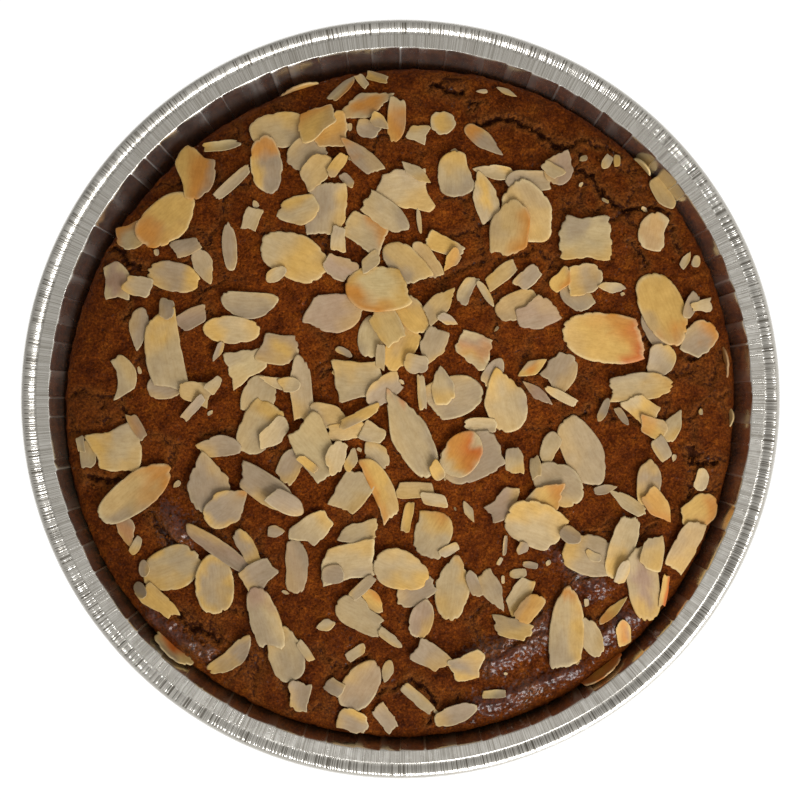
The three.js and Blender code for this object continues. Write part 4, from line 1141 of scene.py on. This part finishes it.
class Ground:
    """The height of what lies on the tart so far, on a fine square grid."""

    def __init__(self):
        steps = np.arange(-HALF_SPAN, HALF_SPAN + GROUND_STEP, GROUND_STEP)
        self.x, self.y = np.meshgrid(steps, steps, indexing="ij")
        self.bare = crust_height(self.x, self.y) + crust_relief(self.x, self.y)[0]
        self.height = self.bare.copy()
        self.solid = outline_share(self.x, self.y) < LAID_WITHIN

    def squares_under(self, px, py):
        """The squares below an outline, as a part of the grid and a mask in it."""
        low_x, low_y = [int((value.min() + HALF_SPAN) / GROUND_STEP) for value in (px, py)]
        high_x, high_y = [int((value.max() + HALF_SPAN) / GROUND_STEP) + 2 for value in (px, py)]
        part = (slice(max(low_x, 0), high_x), slice(max(low_y, 0), high_y))
        return part, inside_outline(px, py, self.x[part], self.y[part]) & self.solid[part]

    def bare_height(self, x, y):
        """The crust's height at a place, or nothing where a slice covers it or the crust ends."""
        i, j = [int((value + HALF_SPAN) / GROUND_STEP) for value in (x, y)]
        is_bare = self.height[i, j] == self.bare[i, j] and outline_share(x, y) < CRUMBS_WITHIN
        return self.bare[i, j] if is_bare else None

    def rest(self, px, py, x, y):
        """Lays a slice down: the height and slopes of its lower side."""
        part, mask = self.squares_under(px, py)
        dx = self.x[part][mask] - x
        dy = self.y[part][mask] - y
        heights = self.height[part][mask]
        terms = np.column_stack([np.ones(len(dx)), dx, dy])
        slopes = np.linalg.lstsq(terms, heights, rcond=None)[0][1:]
        slopes = np.clip(slopes, -STEEPEST_REST, STEEPEST_REST)
        height = np.max(heights - slopes[0] * dx - slopes[1] * dy) - SLICE_SINK
        top = height + slopes[0] * dx + slopes[1] * dy + SLICE_THICKNESS
        self.height[part][mask] = np.maximum(heights, top)
        return height, slopes


def slice_angles(length, width):
    perimeter = math.pi * (length + width) / 2
    count = max(FEWEST_SIDES, int(perimeter / EDGE_STEP))
    return circle(count)


def slice_warp(along, across, row):
    """How far each point of a slice is lifted by its curl."""
    x, y, length, width = row[:4]
    draw = seeded_draw(y, x)
    u = 2 * along / length
    v = 2 * across / width
    scale = CURL * min(1, length / CURLED_LENGTH)
    end_curl = scale * lerp(*END_CURLS, draw()) * u * u
    side_curl = scale * lerp(*SIDE_CURLS, draw()) * v * v
    twist = scale * lerp(*TWISTS, draw()) * u * v
    return end_curl + side_curl + twist + BUCKLE * noise(along, across, BUCKLE_SPAN, x)


def tone_parts(code):
    """What a tone's letters stand for: the body's colour, and each patch's colour and sides."""
    body = []
    patches = []
    for before, letter in zip(" " + code, code):
        if letter in TONES:
            body.append(letter)
        elif before in TONES:
            patches.append((body.pop(), letter))
        else:
            tone, sides = patches.pop()
            patches.append((tone, sides + letter))
    mixed = sum(linear(TONES[letter]) for letter in body) / len(body)
    return mixed, [(linear(TONES[tone]), sides) for tone, sides in patches]


def patch_weight(u, v, sides):
    """How strongly a patch of colour shows at each place of a slice."""
    if sides == "C":
        return 1 - smoothstep(np.hypot(u, v), *MIDDLE_PATCH)
    if sides == "R":
        return smoothstep(np.hypot(u, v), *RIM_PATCH)
    direction = np.sum([SIDES[side.upper()] for side in sides], axis=0) / math.sqrt(len(sides))
    edges = TIP_PATCH if sides.islower() else SIDE_PATCH
    return smoothstep(direction[0] * u + direction[1] * v, *edges)


def slice_tones(along, across, row):
    """The colour of each point of a slice."""
    x, y, length, width, _, _, code = row[:7]
    body, patches = tone_parts(code)
    draw = seeded_draw(x + 3, y + 5)
    u = 2 * along / length + TONE_SWAY * noise(along, across, TONE_SPAN, y)
    v = 2 * across / width + TONE_SWAY * noise(along, across, TONE_SPAN, x)
    heading = math.tau * draw()
    towards = u * math.cos(heading) + v * math.sin(heading)
    away = THIN_SWAY * noise(along, across, THIN_SPAN, x + y) - towards
    spotted = smoothstep(noise(along, across, TONE_SPAN, x - y), -0.7, 0.3)
    golden = lerp(*GOLDEN_SHARES, draw()) * smoothstep(towards, 0, 1)
    thin = lerp(*THIN_SHARES, draw()) * smoothstep(away, 0, 0.9)
    # a painted highlight along the slice's edge, in patches
    edge_highlight = lerp(*EDGE_HIGHLIGHT_SHARES, draw()) * RING_EDGE_HIGHLIGHT[:, None] * spotted
    layers = [(linear(TONES["G"]), golden), (linear(THIN_TONE), thin)]
    layers += [(tone, patch_weight(u, v, sides)) for tone, sides in patches]
    layers += [(linear(EDGE_HIGHLIGHT_TONE), edge_highlight)]
    colour = np.broadcast_to(body, (*u.shape, 3))
    for tone, weight in layers:
        colour = lerp(colour, tone, weight[..., None])
    return colour * lerp(*SLICE_SHADES, draw())


class AlmondMesh:
    """Gathers the points, faces and colours of all slices."""

    def __init__(self):
        self.points = []
        self.faces = []
        self.tones = []
        self.grains = []
        self.count = 0

    def add(self, row, angles, place, flip=False):
        """One slice. Place turns its own along, across and up into points of the tart."""
        shares = np.append(SLICE_RINGS[:, 0], [0, 0])
        lifts = np.append(SLICE_RINGS[:, 1], [1, 0])
        along, across = slice_plan(row, shares, angles)
        up = lifts[:, None] * SLICE_THICKNESS + slice_warp(along, across, row)
        tones = slice_tones(along, across, row)
        ring_points = len(SLICE_RINGS) * len(angles)
        pick = np.append(np.arange(ring_points), [ring_points, ring_points + len(angles)])
        along, across, up = [values.ravel()[pick] for values in (along, across, up)]
        index = grid_index(len(SLICE_RINGS), len(angles), self.count)
        middle_top = index[-1, -1] + 1
        faces = np.concatenate([
            band_faces(index),
            fan_faces(index[-1], middle_top),
            fan_faces(index[0], middle_top + 1)[:, ::-1],
        ])
        self.points.append(place(along, across, up))
        self.faces.append(faces[:, ::-1] if flip else faces)
        self.tones.append(tones.reshape(-1, 3)[pick])
        self.grains.append(np.column_stack([along, across, np.full(len(along), row[0] + row[1])]) * MM)
        self.count += len(along)

    def make(self, name, material):
        points = np.concatenate(self.points)
        piece = make_piece(name, points, np.concatenate(self.faces), material)
        # painted shade: the almonds darker towards the rim and towards -X and -Y
        browned = browning_and_shade(points, ALMOND_PAINTED_SHADE)
        add_colours(piece, "tone", np.concatenate(self.tones) * browned[:, None])
        add_vectors(piece, "grain", np.concatenate(self.grains))


def lay_slice(mesh, ground, row):
    """A slice lying on the crust and on the slices below it."""
    x, y, length, width, turn = row[:5]
    cos = math.cos(math.radians(turn))
    sin = math.sin(math.radians(turn))

    def turned(along, across):
        return along * cos - across * sin, along * sin + across * cos

    angles = slice_angles(length, width)
    dx, dy = turned(*slice_plan(row, [1], angles))
    height, slopes = ground.rest((x + dx).ravel(), (y + dy).ravel(), x, y)

    def place(along, across, up):
        dx, dy = turned(along, across)
        return np.column_stack([x + dx, y + dy, height + slopes[0] * dx + slopes[1] * dy + up])

    mesh.add(row, angles, place)


def lean_slice(mesh, row):
    """A slice that stands in the gap, its top edge leaning outwards."""
    degrees, top_radius, top_height, length, height, lean, tone = row
    angle = math.radians(degrees)
    tilt = math.radians(lean)
    outward = np.array([math.cos(angle), math.sin(angle), 0])
    tangent = np.array([-math.sin(angle), math.cos(angle), 0])
    upward = math.sin(tilt) * outward + np.array([0, 0, math.cos(tilt)])
    inward = -np.cross(tangent, upward)
    top = top_radius * outward + np.array([0, 0, top_height])

    def place(along, across, up):
        return (top + np.outer(along, tangent) + np.outer(across - height / 2, upward)
                + np.outer(up - SLICE_THICKNESS / 2, inward))

    row = (degrees, top_radius, length, height, 0, "S", tone)
    mesh.add(row, slice_angles(length, height), place, flip=True)


def speck_rows():
    """Tiny broken pieces scattered by a seed, as rows of slices."""
    draws = np.random.default_rng(SPECK_SEED)
    for number in range(SPECKS):
        x, y = scattered(draws, SPECKS_WITHIN * CAKE_RADIUS)
        length = lerp(*SPECK_SIZES, draws.random())
        width = length * draws.uniform(*SPECK_WIDTHS)
        turn = 360 * draws.random()
        yield x, y, length, width, turn, SPECK_BREAKS[number % len(SPECK_BREAKS)], "I"


def make_almonds(ground, material):
    mesh = AlmondMesh()
    for row in [*speck_rows(), *SLICES]:
        lay_slice(mesh, ground, row)
    for row in LEANING:
        lean_slice(mesh, row)
    mesh.make("almond_slices", material)


# Crumbs


def twenty_sided_ball():
    """A ball's twelve corners and its twenty triangles, which are the trios with short sides."""
    golden = (1 + math.sqrt(5)) / 2
    radius = math.hypot(1, golden)
    signs = [(one, two) for one in (-1, 1) for two in (-golden, golden)]
    corners = np.array([np.roll((0, *pair), turn) for turn in range(3) for pair in signs]) / radius
    longest = 1.1 * 2 / radius
    trios = [(a, b, c) for a in range(len(corners)) for b in range(a) for c in range(b)]
    faces = []
    for a, b, c in trios:
        edges = corners[[b, c, a]] - corners[[a, b, c]]
        if np.linalg.norm(edges, axis=1).max() < longest:
            is_outward = np.dot(np.cross(edges[0], edges[1]), corners[a]) > 0
            faces.append((a, b, c) if is_outward else (a, c, b))
    return corners, np.array(faces)


def make_crumbs(ground, material):
    """Small lumps of crust, most of them beside the cracks."""
    draws = np.random.default_rng(CRUMB_SEED)
    ball, sides = twenty_sided_ball()
    turning_points = [point for line in CRACKS + THIN_CRACKS for point in line]
    points = []
    faces = []
    for number in range(CRUMBS):
        x, y = draws.normal(turning_points[number % len(turning_points)], CRUMB_SPREAD)
        size = lerp(*CRUMB_SIZES, draws.random() ** 2)
        lump = ball * size * draws.uniform(CRUMB_ROUNDNESS, 1, (len(ball), 1))
        height = ground.bare_height(x, y)
        if height is not None:
            faces.append(sides + len(ball) * len(points))
            points.append(lump + (x, y, height + CRUMB_RISE * size))
    points = np.concatenate(points)
    piece = make_piece("crumbs", points, np.concatenate(faces), material)
    torn = np.full(len(points), CRUMB_TORN)
    # the crumbs darken like the crust: painted shade, partly browner baking
    add_values(piece, torn=torn, browned=browning_and_shade(points, CRUST_BROWNING_AND_SHADE))


# Foil tray


def tray_profile():
    """Rings of the tray from the middle of its inside, over the rim, to the middle of its underside:
    radius, height and which part of the tray each is on."""
    flange_edge = WALL_TOP[0] + FLANGE_WIDTH
    flange_z = WALL_TOP[1] + FOIL
    rings = [(BASE_RADIUS / 2, FOIL, "base"), (BASE_RADIUS, FOIL, "base")]
    rings += [(BASE_RADIUS + BASE_CURVE[0], FOIL + BASE_CURVE[1], "base")]
    for share in INSIDE_SHARES:
        z = lerp(WALL_FOOT[1], flange_z - BEND_DROP, share)
        flare = WALL_FLARE * (1 - math.exp((z - flange_z) / BEND_REACH))
        rings += [(lerp(WALL_FOOT[0], WALL_TOP[0], share) - flare, z, "wall")]
    rings += [(WALL_TOP[0] + BEND_CORNER[0], flange_z - BEND_CORNER[1], "bend")]
    rings += [(flange_edge - inset, flange_z, "flange") for inset in FLANGE_INSETS]
    rings += [(RIM_RADIUS - inward, RIM_TOP - below, part) for inward, below, part in BEAD]
    rings += [(flange_edge, WALL_TOP[1], "under"), (WALL_TOP[0] + FOIL, WALL_TOP[1], "under")]
    for share in OUTSIDE_SHARES:
        radius = lerp(WALL_FOOT[0], WALL_TOP[0], share) + FOIL
        rings += [(radius, lerp(WALL_FOOT[1], WALL_TOP[1], share) - FOIL, "outside")]
    rings += [(BASE_RADIUS + FOIL, 0, "base"), (BASE_RADIUS / 2, 0, "base")]
    return rings


def wall_creases(angles):
    """How far the wall moves in at each angle: thin ridges between panels that tilt a little."""
    draws = np.random.default_rng(CREASE_SEED)
    pitch = math.tau / CREASES
    places = (np.arange(CREASES) + draws.uniform(-CREASE_JITTER, CREASE_JITTER, CREASES)) * pitch
    places = np.append(places, places[0] + math.tau)
    heights = CREASE_HEIGHT * draws.uniform(LOWEST_CREASE, 1, CREASES + 1)
    tilts = PANEL_TILT * draws.uniform(-1, 1, CREASES)
    turn = (angles - places[0]) % math.tau + places[0]
    panel = np.clip(np.searchsorted(places, turn, side="right") - 1, 0, CREASES - 1)
    share = (turn - places[panel]) / (places[panel + 1] - places[panel])
    move = tilts[panel] * (2 * share - 1) * smoothstep(np.minimum(share, 1 - share), 0, PANEL_EDGE)
    for number in range(CREASES):
        arc = (angles - places[number] + math.pi) % math.tau - math.pi
        move = move + heights[number] * np.exp(-(arc * WALL_TOP[0] / CREASE_WIDTH) ** 2)
    return move


def make_tray(material):
    angles = circle(TRAY_SEGMENTS)
    cos = np.cos(angles)
    sin = np.sin(angles)
    wrapped = [RIM_RADIUS * cos, RIM_RADIUS * sin]
    creases = wall_creases(angles)
    waver = noise(*wrapped, WAVER_SPAN, seed=6)
    filmed_side = smoothstep(np.cos(angles - FILM_AND_SHADE_SIDE), *FILM_AND_SHADE_SPREAD)
    rings = []
    parts = []
    scuffs = []
    films = []
    for radius, height, part in tray_profile():
        r = np.full(TRAY_SEGMENTS, float(radius))
        z = np.full(TRAY_SEGMENTS, float(height))
        scuff = PART_ROUGHNESS[part] * (1 + SCUFF_SHARE * noise(*wrapped, SCUFF_SPAN, radius))
        if part in ("wall", "outside"):
            r -= creases * smoothstep(wall_climb(height), *CREASE_CLIMB)
            scuff = lerp(scuff, CREASE_ROUGHNESS, np.clip(creases / CREASE_HEIGHT, 0, 1))
        elif part == "bend":
            r -= BEND_CREASE * creases
        elif part in ("crimp", "crest", "roll"):
            r += RIM_WAVER * waver * (RIM_RADIUS - radius) / BEAD[0][0] - RIM_INSET
        rings.append(np.column_stack([r * cos, r * sin, z]))
        parts.append(part)
        scuffs.append(scuff)
        # the wall's baked-on film and painted shade, thinning out upwards
        films.append(filmed_side * (part == "wall") * (1 - smoothstep(height, *FILM_AND_SHADE_HEIGHTS)))
    points = np.concatenate([*rings, [[0, 0, FOIL], [0, 0, 0]]])
    index = grid_index(len(rings), TRAY_SEGMENTS)
    inside_fan = fan_faces(index[0], len(points) - 2)
    under_fan = fan_faces(index[-1], len(points) - 1)[:, ::-1]
    faces = np.concatenate([band_faces(index)[:, ::-1], inside_fan, under_fan])
    piece = make_piece("tray", points, faces, material)
    part_of_point = np.append(np.repeat(parts, TRAY_SEGMENTS), 2 * ["base"])
    add_values(
        piece,
        scuff=np.append(scuffs, 2 * [PART_ROUGHNESS["base"]]),
        film=np.append(films, [0, 0]),
        lined=part_of_point == "flange",
        crimped=np.isin(part_of_point, ["crimp", "crest"]),
    )
    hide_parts("foil_tray")


# Stage, light and camera

CAMERA_RISE = 750
FRAME_WIDTH = 225.26
SENSOR = 36
RIM_IN_FRAME = (0.113, 0.28)
FLOOR_SIZE = 60000
KEY_DISTANCE = 1000
KEY_SIZE = 530
KEY_POWER = 9.4
KEY_DIRECTION = (0.42, -0.66, 0.62)
SKY_STRENGTH = 0.5
SKY_SLOPE = (0.16, -0.15, 0)
SKY_COLOUR = (1, 0.97, 0.91, 1)
FLOOR_GLOW = 0.97
FLOOR_COLOUR = (0.12, 0.12, 0.12, 1)


def make_floor():
    bpy.ops.mesh.primitive_plane_add(size=FLOOR_SIZE * MM)
    floor = bpy.context.object
    floor.name = "floor"
    material, tree, shader = start_material("floor")
    set_inputs(tree, shader, {
        "Base Color": FLOOR_COLOUR,
        "Roughness": 0.9,
        "Specular IOR Level": 0.1,
        "Emission Color": (1, 1, 1, 1),
        "Emission Strength": FLOOR_GLOW,
    })
    floor.data.materials.append(material)
    floor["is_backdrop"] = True


def make_sky():
    """Soft light from all round, brighter on the key light's side."""
    world = bpy.data.worlds.new("studio")
    world.use_nodes = True
    tree = world.node_tree
    place = add_node(tree, "TexCoord").outputs["Generated"]
    slope = add_maths(tree, "VectorMath", "DOT_PRODUCT", place, SKY_SLOPE).outputs["Value"]
    strength = add_sum(tree, slope, SKY_STRENGTH)
    set_inputs(tree, tree.nodes["Background"], {"Color": SKY_COLOUR, "Strength": strength})
    bpy.context.scene.world = world


def make_key_light():
    light = bpy.data.lights.new("key", "AREA")
    light.energy = KEY_POWER
    light.size = KEY_SIZE * MM
    lamp = bpy.data.objects.new("key", light)
    direction = np.array(KEY_DIRECTION) / np.linalg.norm(KEY_DIRECTION)
    lamp.location = direction * KEY_DISTANCE * MM
    turn = math.atan2(direction[1], direction[0]) + math.pi / 2
    lamp.rotation_euler = (math.acos(direction[2]), 0, turn)
    bpy.context.scene.collection.objects.link(lamp)


def make_camera():
    """Straight above the tart, so that the rim lies where it does in the photograph."""
    data = bpy.data.cameras.new("camera")
    data.sensor_width = SENSOR
    data.lens = SENSOR * CAMERA_RISE / FRAME_WIDTH
    data.clip_end = FLOOR_SIZE * MM
    camera = bpy.data.objects.new("camera", data)
    camera.location = (-RIM_IN_FRAME[0] * MM, -RIM_IN_FRAME[1] * MM, (RIM_TOP + CAMERA_RISE) * MM)
    bpy.context.scene.collection.objects.link(camera)
    bpy.context.scene.camera = camera


make_camera()
make_key_light()
make_sky()
make_floor()
bpy.context.scene.view_settings.view_transform = "Standard"

crust = make_crust_material()
ground = Ground()
make_tray(make_foil_material())
make_cake(crust)
make_almonds(ground, make_almond_material())
make_crumbs(ground, crust)

bpy.context.view_layer.update()
boxes = {"cad": cad_box, "visual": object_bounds()}
{name: [list(corner) for corner in box] for name, box in boxes.items()}
